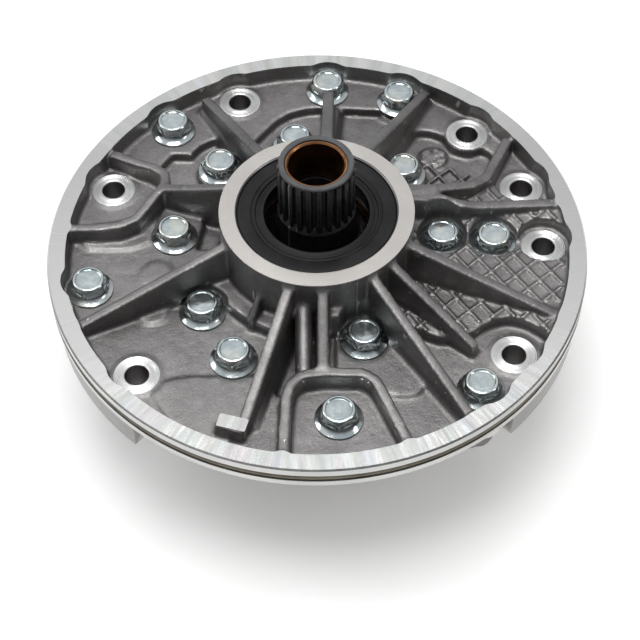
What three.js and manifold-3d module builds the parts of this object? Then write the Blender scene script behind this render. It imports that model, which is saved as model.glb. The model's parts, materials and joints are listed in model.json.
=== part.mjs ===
// Front oil pump of an automatic transmission: the pump that the torque converter's hub drives.
// It is an internal-gear crescent pump in a round cast body, with a bolted rear cover that
// carries the splined stator support shaft. Millimetres, +Z towards the torque converter.
// The origin is on the shaft's axis, level with the machined front face of the body's rim.
import * as THREE from 'three';
import { mergeVertices } from 'three/addons/utils/BufferGeometryUtils.js';
import Module from 'manifold-3d';

const wasm = await Module();
wasm.setup();

// ---- Driving dimensions -------------------------------------------------------------------
const GAP = 0.35;                  // clearance left between neighbouring pieces

// rim and skirt of the body
const RIM_R = 102.5;               // outside radius of the rim
const RIM_IN_R = 96;               // inner edge of the machined rim face
const RIM_BOTTOM = -9.3;           // underside of the rim's lower land
const GROOVE_TOP = -3.4;           // O-ring groove
const GROOVE_BOTTOM = -6.9;
const GROOVE_R = 100;
const SKIRT_R = 101.5;             // thin wall under the rim
const SKIRT_IN_R = 97;
const SKIRT_BOTTOM = -22;
const WINDOW = [229, 313.5];       // the skirt is missing between these angles
const WINDOW_R = 83.5;             // outline of body and cover in the window

// levels of the cast front
const FLOOR = -7;                  // main floor between the ribs, and the seats machined in it
const LOW_FLOOR = -11;             // floor of the lower pockets round the hub
const PLATEAU = -2;                // raised sector beside the wells
const BACK_Z = -24;                // joint face between body and cover
const GROOVE_BACK_Z = -14;         // bottom of the relief between core and skirt
const CORE_R = 91.5;               // solid middle of the body, behind the floor

// hub
const HUB_R = 36.5;
const HUB_TOP = 18.8;
const SEAL_R = 30;                 // bore of the oil seal
const SEAL_SEAT = 9;
const SEAL_RECESS = 0.7;           // the seal's face lies this far below the hub's
const SEAL_WALL = 1.2;
const SEAL_FACE_R = 23.2;          // inner edge of the case's face
const BUSH_R = 21.6;               // bore of the converter hub's bush

// pump gears
const MODULE = 2.54;
const DRIVE_TEETH = 24;
const DRIVEN_TEETH = 29;
const PRESSURE = THREE.MathUtils.degToRad(20);
const ADDENDUM = 0.68 * MODULE;    // truncated teeth, as in a crescent pump
const DEDENDUM = 1.0 * MODULE;
const THINNING = 0.42;             // taken off each tooth's thickness for backlash
const OFFSET = MODULE * (DRIVEN_TEETH - DRIVE_TEETH) / 2;
const OFFSET_ANGLE = 123.4;        // direction from the shaft's axis to the driven gear's axis
const MESH_ANGLE = OFFSET_ANGLE + 180;
const RING_R = 44;                 // outside radius of the driven gear
const POCKET_TOP = -15.2;          // front wall of the gear pocket
const GEAR_TOP = POCKET_TOP - GAP;
const GEAR_BOTTOM = BACK_Z + 0.05;
const DRIVE_BORE_R = 20.2;         // the converter's hub passes through, between two lugs
const LUG = { width: 5.5, length: 8, middle: 19.5, angle: 40 };

// fasteners
const HOLE_R = 4.4;                // clearance hole of an M8 bolt
const MOUNT_R = 87;                // circle of the mounting holes
const MOUNT_ANGLES = [111.1, 45.1, 21.5, 1.3, 325.4, 220.7, 157.5];
const OUTER_R = 87.5;              // outer bolt circle
const OUTER_ANGLES = [131.5, 86.7, 67, 191, 311.9];
const INNER_R = 51.6;              // inner bolt circle, about the driven gear's axis
const INNER_ANGLES = [0, 42.4, 95.5, 132.2, 176.2, 220.2, 293.3];
const SINGLE_BOLTS = [[77, 275.3], [67.8, 3.1], [58.7, 238.3]];
const BOLT_LENGTH = 24;
const HEX_AF = 12;
const FLANGE_R = 8.8;
const FLANGE_HEIGHT = 3;           // room for the bolt's flange under a rib
const HEAD_TOP = -0.1;
const SHANK_R = 3.8;
const WELL_R = 9.5;                // wells round the bolt heads
const SCALLOP_R = 10.4;            // scallops in the rim beside the outer holes
const SPOT_R = 9.2;                // raised machined spots round the mounting holes
const SPOT_TOP = FLOOR + 0.5;

// stator support shaft
const SHAFT_TOP = 44.4;
const SHAFT_BOTTOM = -72;
const SPLINE_R = 14.2;
const SPLINE_ROOT = 12.9;
const SPLINE_TEETH = 23;
const SPLINE_END = 21;             // the splines run from here to the front end
const SHAFT_R = 14.6;
const SHAFT_FIT_R = 15.6;          // where the shaft is pressed into the cover
const SHAFT_BORE_R = 9.4;
const SHAFT_BUSH = { outer: 11.1, inner: 10.2 };
const FRONT_BUSH = { ...SHAFT_BUSH, top: SHAFT_TOP - 0.7, bottom: 26 };
const REAR_BUSH = { ...SHAFT_BUSH, top: -54, bottom: SHAFT_BOTTOM + 0.7 };

// rear cover
const COVER_R = 93;
const COVER_FRONT = BACK_Z - GAP;
const COVER_BACK = -32.3;
const BOSS_R = 58;                 // thicker middle of the cover
const BOSS_BACK = -38;
const REAR_HUB_R = 34;
const REAR_HUB_END = -62;
const RING_TOPS = [-45, -51, -57]; // grooves of the three sealing rings
const RING_GROOVE_R = 31;
const RING_GROOVE_WIDTH = 3;
const COVER_SCOOPS = [[15, 60], [70, 112], [122, 168], [182, 224], [318, 352]];

// bushes, washer and pins between the two castings
const HUB_BUSH = { outer: BUSH_R - GAP, inner: 19.2, top: 7.5, bottom: -13.5 };
const WASHER = { outer: 44, inner: REAR_HUB_R + GAP, top: BOSS_BACK - GAP, bottom: BOSS_BACK - 2.4 };
const DOWEL_R = 3;
const DOWEL_SPAN = [-30, -18];
const COLUMN_R = 9.5;              // columns behind the outer holes

// ---- Geometry helpers ---------------------------------------------------------------------
const rad = THREE.MathUtils.degToRad;

function polar(radius, degrees, centre = [0, 0]) {
  return [centre[0] + radius * Math.cos(rad(degrees)), centre[1] + radius * Math.sin(rad(degrees))];
}

const DRIVEN_CENTRE = polar(OFFSET, OFFSET_ANGLE);

function signedVolume(geometry) {
  const p = geometry.attributes.position;
  const index = geometry.index;
  const [a, b, c] = [new THREE.Vector3(), new THREE.Vector3(), new THREE.Vector3()];
  let volume = 0;
  for (let i = 0; i < index.count; i += 3) {
    a.fromBufferAttribute(p, index.getX(i));
    b.fromBufferAttribute(p, index.getX(i + 1));
    c.fromBufferAttribute(p, index.getX(i + 2));
    volume += a.dot(b.cross(c)) / 6;
  }
  return volume;
}

// A closed three.js geometry becomes a solid with its faces pointing out.
function solid(source) {
  let geometry = source.clone();
  geometry.deleteAttribute('normal');
  geometry.deleteAttribute('uv');
  geometry = mergeVertices(geometry, 1e-4);
  const triangles = [];
  const flip = signedVolume(geometry) < 0;
  const index = geometry.index;
  for (let i = 0; i < index.count; i += 3) {
    const [a, b, c] = [index.getX(i), index.getX(i + 1), index.getX(i + 2)];
    if (a === b || b === c || c === a) continue;
    triangles.push(...(flip ? [a, c, b] : [a, b, c]));
  }
  return new wasm.Manifold(new wasm.Mesh({
    numProp: 3,
    vertProperties: new Float32Array(geometry.attributes.position.array),
    triVerts: new Uint32Array(triangles),
  }));
}

function union(solids) {
  return solids.reduce((whole, next) => whole.add(next));
}

function cutAll(whole, tools) {
  return tools.reduce((rest, tool) => rest.subtract(tool), whole);
}

function geometryOf(body) {
  const mesh = body.getMesh();
  const positions = new Float32Array(mesh.numVert * 3);
  for (let i = 0; i < mesh.numVert; i += 1) {
    for (let k = 0; k < 3; k += 1) {
      positions[3 * i + k] = mesh.vertProperties[mesh.numProp * i + k];
    }
  }
  const geometry = new THREE.BufferGeometry();
  geometry.setAttribute('position', new THREE.BufferAttribute(positions, 3));
  geometry.setIndex(new THREE.BufferAttribute(new Uint32Array(mesh.triVerts), 1));
  return geometry;
}

// A profile of [radius, z] corners, closed on itself, turned about the Z axis.
function turned(profile, segments = 72) {
  const points = [...profile, profile[0]].map(([r, z]) => new THREE.Vector2(r, z));
  return solid(new THREE.LatheGeometry(points, segments).rotateX(Math.PI / 2));
}

function disc(radius, bottom, top, centre = [0, 0], segments = 24) {
  const geometry = new THREE.CylinderGeometry(radius, radius, top - bottom, segments);
  geometry.rotateX(Math.PI / 2);
  return solid(geometry.translate(centre[0], centre[1], (top + bottom) / 2));
}

function prism(outline, bottom, top, curveSegments = 6) {
  const shape = outline instanceof THREE.Shape
    ? outline
    : new THREE.Shape(outline.map(([x, y]) => new THREE.Vector2(x, y)));
  const depth = top - bottom;
  const geometry = new THREE.ExtrudeGeometry(shape, { depth, bevelEnabled: false, curveSegments });
  return solid(geometry.translate(0, 0, bottom));
}

function arc(radius, from, to, steps, centre = [0, 0]) {
  return Array.from({ length: steps + 1 }, (_, i) => polar(radius, from + (to - from) * i / steps, centre));
}

function smooth(points, steps) {
  const curve = new THREE.SplineCurve(points.map(([x, y]) => new THREE.Vector2(x, y)));
  return curve.getPoints(steps).map((p) => [p.x, p.y]);
}

// A rib runs through [x, y, top] stations with upright sides and round corners.
function rib(stations, width, bottom = LOW_FLOOR - 1) {
  const pieces = [];
  for (let i = 0; i + 1 < stations.length; i += 1) {
    const [x0, y0, top0] = stations[i];
    const [x1, y1, top1] = stations[i + 1];
    const run = Math.hypot(x1 - x0, y1 - y0);
    const side = new THREE.Shape([
      new THREE.Vector2(0, bottom),
      new THREE.Vector2(run, bottom),
      new THREE.Vector2(run, top1),
      new THREE.Vector2(0, top0),
    ]);
    const wall = new THREE.ExtrudeGeometry(side, { depth: width, bevelEnabled: false });
    wall.translate(0, 0, -width / 2).rotateX(Math.PI / 2);
    wall.rotateZ(Math.atan2(y1 - y0, x1 - x0)).translate(x0, y0, 0);
    pieces.push(solid(wall));
    if (i > 0) pieces.push(disc(width / 2, bottom, top0 - 0.02, [x0, y0], 10));
  }
  return union(pieces);
}

function radialRib([startAngle, endR, endAngle], width, topStart = 17, topEnd = -1) {
  const start = polar(HUB_R - 1, startAngle);
  const end = polar(endR, endAngle);
  return rib([[...start, topStart], [...end, topEnd]], width);
}

// ---- Hole patterns ------------------------------------------------------------------------
const mountCentres = MOUNT_ANGLES.map((angle) => polar(MOUNT_R, angle));
const outerCentres = OUTER_ANGLES.map((angle) => polar(OUTER_R, angle));
const innerCentres = INNER_ANGLES.map((angle) => polar(INNER_R, angle, DRIVEN_CENTRE));
const singleCentres = SINGLE_BOLTS.map(([radius, angle]) => polar(radius, angle));
const boltCentres = [...outerCentres, ...innerCentres, ...singleCentres];
const dowelCentres = [polar(70, 181), polar(70, 30)];

// The window stops at the columns, so that a bolt beside it has metal all along its shank.
function windowSector(innerR, bottom, top) {
  const inner = arc(innerR, WINDOW[0], WINDOW[1], 12);
  const outer = arc(RIM_R + 5, WINDOW[1], WINDOW[0], 12);
  const kept = outerCentres.map((c) => disc(COLUMN_R, bottom - 1, top + 1, c, 8));
  return prism([...inner, ...outer], bottom, top).subtract(union(kept));
}

// ---- Body ---------------------------------------------------------------------------------
function bodyBlank() {
  return turned([
    [BUSH_R, BACK_Z], [CORE_R, BACK_Z], [CORE_R, GROOVE_BACK_Z], [SKIRT_IN_R, GROOVE_BACK_Z],
    [SKIRT_IN_R, SKIRT_BOTTOM], [SKIRT_R, SKIRT_BOTTOM], [SKIRT_R, RIM_BOTTOM], [RIM_R, RIM_BOTTOM],
    [RIM_R, GROOVE_BOTTOM], [GROOVE_R, GROOVE_BOTTOM], [GROOVE_R, GROOVE_TOP], [RIM_R, GROOVE_TOP],
    [RIM_R, -0.8], [RIM_R - 0.8, 0], [RIM_IN_R, 0], [RIM_IN_R - 1.5, LOW_FLOOR],
    [HUB_R, LOW_FLOOR], [HUB_R, HUB_TOP], [SEAL_R, HUB_TOP], [SEAL_R, SEAL_SEAT], [BUSH_R, SEAL_SEAT],
  ], 64);
}

// The floor is a disc at the main level, cut away where the pockets round the hub lie lower.
function floorSlab() {
  const slab = disc(RIM_IN_R - 0.5, LOW_FLOOR - 1, FLOOR, [0, 0], 64);
  const edge = LOW_FLOOR - 2;
  const topPocket = prism([
    polar(30, 118), ...smooth([[-27, 57], [-21, 65], [-13, 74], [-2, 78], [12, 77.5], [36, 75.5]], 9),
    polar(30, 58),
  ], edge, 0);
  const rightPocket = prism([
    polar(30, 62), ...smooth([[34, 63], [41.5, 64.4], [47, 64], [53, 60.6], [57.6, 57], [63, 55.6],
      [67, 54.6], [71, 51]], 12),
    [66, 33], [60, 24], polar(30, 25),
  ], edge, 0);
  const leftPocket = union([
    disc(14.5, edge, 0, [-37, 47], 18),
    prism([[-64, 44], [-58, 53], [-45, 52], [-36, 30], [-62, 30]], edge, 0),
  ]);
  const sidePocket = prism([[-30, 4], [-47, 3], [-44, 16], [-47, 22], [-60, 26], [-36, 20]], edge, 0);
  const lowPocket = prism([
    polar(30, 257), [-18, -58], [-15, -66], [-6, -62], [0, -58], polar(30, 270),
  ], edge, 0);
  return cutAll(slab, [topPocket, rightPocket, leftPocket, sidePocket, lowPocket]);
}

function raisedFloors() {
  const base = LOW_FLOOR - 1;
  const rimR = RIM_IN_R - 0.5;
  const lattice = prism([
    polar(30, 300), [37, -41],
    ...smooth([[45, -44.5], [55, -43], [62, -38], [70, -35.5], [78, -38], [86, -45]], 11),
    ...arc(rimR, 333, 371, 6), [88, 22], [72, 30], [66.4, 30], [60, 24.8], [44, 19.7], polar(30, 28),
  ], base, PLATEAU);
  const raisedPanel = prism([
    polar(88, 226), [-58, -60], ...smooth([[-56, -60], [-48, -58], [-38, -58], [-35, -56]], 8),
    [-22, -58], polar(rimR, 250), polar(rimR, 238),
  ], base, FLOOR + 1);
  const lowerPanel = prism([
    [7, -40], [6, -60], [24, -66], ...smooth([[27, -67.5], [35, -67], [38.5, -63]], 5), polar(40, 304),
  ], base, FLOOR + 1.2);
  const sidePanel = prism([
    polar(rimR, 174), ...smooth([[-88, 3], [-72, 3], [-64, 7]], 6), [-61, 24], [-70, 18], polar(rimR, 172),
  ], base, FLOOR + 0.8);
  const shelf = prism([...arc(43.5, 203, 254, 8), ...arc(30, 254, 203, 4)], base, PLATEAU);
  const frontShelf = prism([...arc(41, 273, 303, 5), ...arc(30, 303, 273, 4)], base, 6);
  return union([lattice, raisedPanel, lowerPanel, sidePanel, shelf, frontShelf]);
}

function ribs() {
  const wide = 4.2;
  const straight = [
    radialRib([202.1, 95.5, 203.2], wide, 15.5),
    radialRib([121.6, 91, 119.9], wide, 14),
    radialRib([83.5, 78.2, 86.1], 4.6, 17, 3),
    radialRib([60, 93.5, 60.7], wide, 16),
    radialRib([253.5, 86, 252], wide, 17, -0.6),
    radialRib([303.3, 95.5, 304.1], wide),
    radialRib([318.2, 76, 319.4], 4),
    radialRib([336, 95.5, 338.4], wide),
    radialRib([234, 44.5, 236], 2.6, 8, -1),
  ];
  const yBar = [
    rib([[2, -HUB_R + 1, 17], [1.6, -61, 1.5]], 4.2),
    rib([[-12.5, -95.5, -0.3], [-11.5, -72, 1], [-10, -66.5, 1.4], [-6, -62.5, 1.5], [2, -61.5, 1.6],
      [16, -61.8, 1.5], [20.5, -65, 1.4], [23.5, -72, 1], [31.4, -91, -0.3]], 4.2),
  ];
  const left = [
    rib([[-34, 17.5, 13], [-50, 22.4, 7], [-60, 26.2, 3.2]], 4),
    rib([[-81.5, 47.5, 0], [-72, 42.2, 0.8], [-64, 38.4, 1.6], [-59.5, 34.5, 2.2], [-59, 29, 2.8],
      [-62.5, 23, 2.8], [-66, 17.3, 2.4], [-69.5, 11.8, 1.8], [-76, 8.6, 1.4], [-84, 8, 0.9],
      [-95.2, 8.7, -0.2]], 4),
  ];
  const right = [
    rib([[33, 13.6, 10.5], [47.8, 15.4, 7.5], [55, 14.1, 5.5], [64, 14.7, 3.8], [94.5, 19.4, -0.4]], 4.4),
    rib([[31, 17, 12], [44, 19.7, 8.5], [60, 24.8, 4.5], [66.4, 30, 3], [77.2, 54.5, -0.9]], 4.2),
  ];
  // a drilled drain passage runs inside a round-backed boss beside the lower rib
  const drain = new THREE.CylinderGeometry(3.3, 3.3, 30, 12);
  drain.rotateX(rad(23)).translate(-5.2, -46.5, 0.5);
  const padCentre = polar(88.6, 249.4);
  const pad = new THREE.BoxGeometry(4.4, 10.8, 12).rotateZ(rad(252)).translate(...padCentre, -6.1);
  return {
    plain: union([...straight, ...yBar, ...left, solid(drain), solid(pad)]),
    welled: union(right),
  };
}

function castPads() {
  return union([
    disc(6.4, LOW_FLOOR - 1, FLOOR + 0.9, [-62, -27], 14),
    disc(6, LOW_FLOOR - 1, FLOOR + 0.6, [-61, -9.5], 14),
    disc(5.5, LOW_FLOOR - 1, LOW_FLOOR + 0.8, [47.3, 52.1], 14),
  ]);
}

// In the low pockets the bolts sit on bosses.
function bodyBosses() {
  return union(innerCentres.slice(1, 5).map((c) => disc(WELL_R, LOW_FLOOR - 1, FLOOR, c, 16)));
}

// Behind the floor, every hole near the edge has a column that ties the core to the skirt.
function rearColumns() {
  const columns = [...mountCentres, ...outerCentres].map((c) => disc(COLUMN_R, BACK_Z, RIM_BOTTOM, c, 8));
  return union(columns).intersect(disc(SKIRT_IN_R + 1, BACK_Z, 0, [0, 0], 64));
}

// The crescent fills the space between the two gears, opposite to where they mesh.
function crescent() {
  const driveTip = MODULE * DRIVE_TEETH / 2 + ADDENDUM + GAP;
  const drivenTip = MODULE * DRIVEN_TEETH / 2 - ADDENDUM - GAP;
  const ringSide = disc(drivenTip, BACK_Z, POCKET_TOP + 1, DRIVEN_CENTRE, 48);
  const gearSide = disc(driveTip, BACK_Z - 1, POCKET_TOP + 2, [0, 0], 48);
  const horn = [polar(20, OFFSET_ANGLE - 180), polar(60, OFFSET_ANGLE - 68), polar(90, OFFSET_ANGLE),
    polar(60, OFFSET_ANGLE + 68)];
  return ringSide.subtract(gearSide).intersect(prism(horn, BACK_Z, POCKET_TOP + 1));
}

function pumpBody() {
  const { plain, welled } = ribs();
  let body = union([bodyBlank(), floorSlab(), raisedFloors(), welled, castPads(), bodyBosses(),
    rearColumns()]);
  const high = HUB_TOP + 5;
  const scallops = [...mountCentres, ...outerCentres].map((c) => disc(SCALLOP_R, FLOOR, high, c, 18));
  const wells = [...innerCentres, ...singleCentres].map((c) => disc(WELL_R, FLOOR, high, c, 16));
  const headRooms = boltCentres.map((c) => disc(WELL_R - 0.2, FLOOR, FLOOR + FLANGE_HEIGHT, c, 16)
    .add(disc(HEX_AF / Math.sqrt(3) + GAP + 0.1, FLOOR, 1, c, 12)));
  const spots = mountCentres.map((c) => disc(SPOT_R, FLOOR - 1, SPOT_TOP, c, 18));
  const holes = [...mountCentres, ...boltCentres].map((c) => disc(HOLE_R, BACK_Z - 1, high, c, 10));
  const dowels = dowelCentres.map((c) => disc(DOWEL_R + GAP, BACK_Z - 1, DOWEL_SPAN[1] + GAP, c, 12));
  const pocket = disc(RING_R + GAP, BACK_Z - 1, POCKET_TOP, DRIVEN_CENTRE, 64);
  const bore = disc(BUSH_R, BACK_Z - 1, SEAL_SEAT, [0, 0], 64);
  const keptHub = turned([[BUSH_R, POCKET_TOP], [HUB_R, POCKET_TOP], [HUB_R, HUB_TOP],
    [SEAL_R, HUB_TOP], [SEAL_R, SEAL_SEAT], [BUSH_R, SEAL_SEAT]], 64);
  body = cutAll(body, [...scallops, ...wells]).add(cutAll(plain, headRooms)).add(keptHub);
  body = body.add(union(spots));
  body = cutAll(body, [...holes, ...dowels, pocket, windowSector(WINDOW_R, BACK_Z - 1, RIM_BOTTOM)]);
  return body.add(crescent()).subtract(bore);
}

// ---- Gears --------------------------------------------------------------------------------
// Half the angle that a tooth spans at a radius, from the involute of its base circle.
function halfTooth(radius, teeth, sign) {
  const pitch = MODULE * teeth / 2;
  const base = pitch * Math.cos(PRESSURE);
  const involute = (angle) => Math.tan(angle) - angle;
  const atRadius = Math.acos(Math.min(1, base / Math.max(radius, base)));
  const atPitch = Math.PI / (2 * teeth) - THINNING / (2 * pitch);
  return atPitch + sign * (involute(PRESSURE) - involute(atRadius));
}

// One outline of points round a gear; sign is 1 for outside teeth and -1 for inside teeth.
function toothOutline(teeth, rootR, tipR, sign) {
  const steps = [0, 0.6, 1];
  const points = [];
  for (let tooth = 0; tooth < teeth; tooth += 1) {
    const middle = 2 * Math.PI * tooth / teeth;
    const flank = steps.map((t) => {
      const r = rootR + (tipR - rootR) * t;
      return [r, halfTooth(r, teeth, sign)];
    });
    for (const [r, half] of flank) {
      points.push([r * Math.cos(middle - half), r * Math.sin(middle - half)]);
    }
    for (const [r, half] of flank.reverse()) {
      points.push([r * Math.cos(middle + half), r * Math.sin(middle + half)]);
    }
  }
  return points;
}

function driveGear() {
  const pitch = MODULE * DRIVE_TEETH / 2;
  const outline = toothOutline(DRIVE_TEETH, pitch - DEDENDUM, pitch + ADDENDUM, 1);
  const blank = prism(outline, GEAR_BOTTOM, GEAR_TOP);
  const lugs = union([0, 180].map((angle) => {
    const lug = new THREE.BoxGeometry(LUG.width, LUG.length, GEAR_TOP - GEAR_BOTTOM);
    lug.translate(LUG.middle, 0, (GEAR_TOP + GEAR_BOTTOM) / 2);
    return solid(lug.rotateZ(rad(angle + LUG.angle)));
  }));
  return blank.subtract(disc(DRIVE_BORE_R, BACK_Z - 1, POCKET_TOP, [0, 0], 40)).add(lugs);
}

function drivenGear() {
  const pitch = MODULE * DRIVEN_TEETH / 2;
  const outline = toothOutline(DRIVEN_TEETH, pitch + DEDENDUM, pitch - ADDENDUM, -1);
  return disc(RING_R, GEAR_BOTTOM, GEAR_TOP, [0, 0], 64).subtract(prism(outline, BACK_Z - 1, POCKET_TOP));
}

// ---- Cover, shaft and small parts ---------------------------------------------------------
function pumpCover() {
  const bore = SHAFT_FIT_R + GAP;
  const flange = turned([
    [bore, COVER_FRONT], [COVER_R, COVER_FRONT], [COVER_R, COVER_BACK], [BOSS_R + 2, COVER_BACK],
    [BOSS_R - 2, BOSS_BACK], [bore, BOSS_BACK],
  ], 54);
  const grooves = RING_TOPS.flatMap((top) => [
    [REAR_HUB_R, top], [RING_GROOVE_R, top], [RING_GROOVE_R, top - RING_GROOVE_WIDTH],
    [REAR_HUB_R, top - RING_GROOVE_WIDTH],
  ]);
  const rearHub = turned([
    [bore, BOSS_BACK + 1], [REAR_HUB_R, BOSS_BACK + 1], ...grooves, [REAR_HUB_R, REAR_HUB_END + 1],
    [REAR_HUB_R - 1, REAR_HUB_END], [bore, REAR_HUB_END],
  ], 36);
  const bolts = boltCentres.map((c) => disc(HOLE_R, BOSS_BACK - 1, COVER_FRONT + 1, c, 10));
  const mounts = mountCentres.map((c) => disc(HOLE_R + 0.4, COVER_BACK - 1, COVER_FRONT + 1, c, 10));
  const dowelEnd = DOWEL_SPAN[0] - GAP;
  const dowels = dowelCentres.map((c) => disc(DOWEL_R + GAP, dowelEnd, COVER_FRONT + 1, c, 12));
  const kidneys = [-1, 1].map((side) => {
    const from = MESH_ANGLE + side * 22;
    const to = MESH_ANGLE + side * 112;
    return prism([...arc(37, from, to, 8), ...arc(27, to, from, 8)], COVER_FRONT - 4, COVER_FRONT + 1);
  });
  const passages = [-1, 1].flatMap((side) => [70, 96].map((turn) => {
    const centre = polar(46, MESH_ANGLE + side * turn);
    return disc(3.4, BOSS_BACK - 1, COVER_FRONT - 2, centre, 12);
  }));
  const scoops = COVER_SCOOPS.map(([from, to]) => {
    const outline = [...arc(77, from, to, 5), ...arc(63, to, from, 5)];
    return prism(outline, COVER_BACK - 1, COVER_BACK + 3.5);
  });
  return cutAll(flange.add(rearHub), [
    ...scoops, ...bolts, ...mounts, ...dowels, ...kidneys, ...passages,
    windowSector(WINDOW_R, BOSS_BACK - 1, COVER_FRONT + 1), disc(bore, REAR_HUB_END - 1, 0, [0, 0], 36),
  ]);
}

function splineOutline() {
  const points = [];
  const pitch = 360 / SPLINE_TEETH;
  for (let tooth = 0; tooth < SPLINE_TEETH; tooth += 1) {
    const middle = tooth * pitch;
    points.push(polar(SPLINE_ROOT, middle - 0.34 * pitch));
    points.push(polar(SPLINE_R, middle - 0.17 * pitch));
    points.push(polar(SPLINE_R, middle + 0.17 * pitch));
    points.push(polar(SPLINE_ROOT, middle + 0.34 * pitch));
  }
  return points;
}

function statorShaft() {
  const pocket = SHAFT_BUSH.outer + GAP;
  const tube = turned([
    [SHAFT_BORE_R, FRONT_BUSH.bottom - GAP], [SHAFT_BORE_R, REAR_BUSH.top + GAP],
    [pocket, REAR_BUSH.top + GAP], [pocket, SHAFT_BOTTOM],
    [SHAFT_R, SHAFT_BOTTOM], [SHAFT_R, REAR_HUB_END + 2],
    [SHAFT_FIT_R, REAR_HUB_END + 3], [SHAFT_FIT_R, COVER_FRONT - 2], [SHAFT_R, COVER_FRONT - 1],
    [SHAFT_R, SPLINE_END - 1], [SPLINE_ROOT, SPLINE_END], [SPLINE_ROOT, SHAFT_TOP], [pocket, SHAFT_TOP],
    [pocket, FRONT_BUSH.bottom - GAP],
  ], 46);
  const teeth = prism(splineOutline(), SPLINE_END - 0.5, SHAFT_TOP - 0.8);
  return tube.add(teeth.subtract(disc(pocket - 0.1, SPLINE_END - 3, SHAFT_TOP + 1, [0, 0], 46)))
    .subtract(disc(pocket, FRONT_BUSH.bottom - GAP, SHAFT_TOP + 1, [0, 0], 46));
}

function sleeve({ outer, inner, top, bottom }, segments = 36) {
  return turned([[inner, bottom], [outer, bottom], [outer, top], [inner, top]], segments);
}

function sealCase() {
  const outer = SEAL_R - GAP;
  const face = HUB_TOP - SEAL_RECESS;
  return turned([
    [outer - SEAL_WALL, SEAL_SEAT + GAP], [outer, SEAL_SEAT + GAP], [outer, face], [SEAL_FACE_R, face],
    [SEAL_FACE_R, face - SEAL_WALL], [outer - SEAL_WALL, face - SEAL_WALL],
  ], 36);
}

function sealLip() {
  return turned([
    [19.7, 12.6], [21.4, 11.6], [21.4, 14.6], [22.8, 15.9], [22.8, HUB_TOP - 1.4], [21.6, HUB_TOP - 1.4],
    [19.8, HUB_TOP - 0.9], [20.6, 15.6],
  ], 36);
}

function garterSpring() {
  return solid(new THREE.TorusGeometry(22.5, 0.7, 5, 24).translate(0, 0, 12.7));
}

function rimSeal() {
  const centreZ = (GROOVE_TOP + GROOVE_BOTTOM) / 2;
  const cordR = 1.05;
  return solid(new THREE.TorusGeometry(GROOVE_R + GAP + cordR, cordR, 5, 60).translate(0, 0, centreZ));
}

function sealingRing(top) {
  const outer = REAR_HUB_R + 0.6;
  const inner = RING_GROOVE_R + GAP;
  const hoop = turned([[inner, top - RING_GROOVE_WIDTH + GAP], [outer, top - RING_GROOVE_WIDTH + GAP],
    [outer, top - GAP], [inner, top - GAP]], 36);
  const split = new THREE.BoxGeometry(8, 0.9, 5).translate(REAR_HUB_R, 0, top - RING_GROOVE_WIDTH / 2);
  return hoop.subtract(solid(split));
}

function flangeBolt() {
  const seat = FLOOR + GAP;
  const hex = disc(HEX_AF / Math.sqrt(3), seat + 1, HEAD_TOP, [0, 0], 6);
  const flange = new THREE.CylinderGeometry(HEX_AF / 2 + 1.4, FLANGE_R, 2, 16);
  flange.rotateX(Math.PI / 2).translate(0, 0, seat + 1);
  const shank = disc(SHANK_R, FLOOR - BOLT_LENGTH, seat + 0.5, [0, 0], 10);
  return union([hex, solid(flange), shank]);
}

// ---- Assembly -----------------------------------------------------------------------------
// Heights above are measured from the rim's machined front face. The pump is lifted as a whole,
// so that the shaft's rear end, its lowest point, is at zero.
const pump = new THREE.Group();
pump.position.z = -SHAFT_BOTTOM;
const group = new THREE.Group();
group.add(pump);

function add(name, body, colour, roughness, metalness, position = [0, 0, 0], turn = 0) {
  const material = new THREE.MeshStandardMaterial({ color: colour, roughness, metalness });
  const mesh = new THREE.Mesh(geometryOf(body), material);
  mesh.name = name;
  mesh.position.set(...position);
  mesh.rotation.z = rad(turn);
  pump.add(mesh);
}

const CAST = ['#858484', 0.55, 0.9];
const STEEL = ['#9a9ba0', 0.35, 1];
const ZINC = ['#c3ccd0', 0.25, 1];
const BLACK_STEEL = ['#2b2c2e', 0.4, 0.8];
const BRONZE = ['#a8672e', 0.35, 1];
const RUBBER = ['#151516', 0.6, 0];

add('pump_body', pumpBody(), ...CAST);
add('pump_cover', pumpCover(), ...CAST);
add('drive_gear', driveGear(), ...STEEL, [0, 0, 0], MESH_ANGLE);
add('driven_gear', drivenGear(), ...STEEL, [...DRIVEN_CENTRE, 0], MESH_ANGLE - 180 / DRIVEN_TEETH);
add('stator_shaft', statorShaft(), ...BLACK_STEEL);
add('front_shaft_bush', sleeve(FRONT_BUSH), ...BRONZE);
add('rear_shaft_bush', sleeve(REAR_BUSH), ...BRONZE);
add('converter_hub_bush', sleeve(HUB_BUSH), ...BRONZE);
add('oil_seal_case', sealCase(), ...RUBBER);
add('oil_seal_lip', sealLip(), ...RUBBER);
add('seal_garter_spring', garterSpring(), ...STEEL);
add('rim_o_ring', rimSeal(), '#3a2d26', 0.55, 0);
add('thrust_washer', sleeve(WASHER), ...BRONZE);
RING_TOPS.forEach((top, i) => add(`sealing_ring_${i + 1}`, sealingRing(top), ...RUBBER, [0, 0, 0], 120 * i));
dowelCentres.forEach((centre, i) => {
  const pin = disc(DOWEL_R, ...DOWEL_SPAN, [0, 0], 14);
  add(`dowel_pin_${i + 1}`, pin, ...STEEL, [...centre, 0]);
});
boltCentres.forEach((centre, i) => {
  const number = String(i + 1).padStart(2, '0');
  add(`bolt_${number}`, flangeBolt(), ...ZINC, [...centre, 0], 37 * i);
});

export default group;
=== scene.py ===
import json
import math
import random

import bmesh
import bpy
import numpy as np
from mathutils import Matrix, Vector


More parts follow.
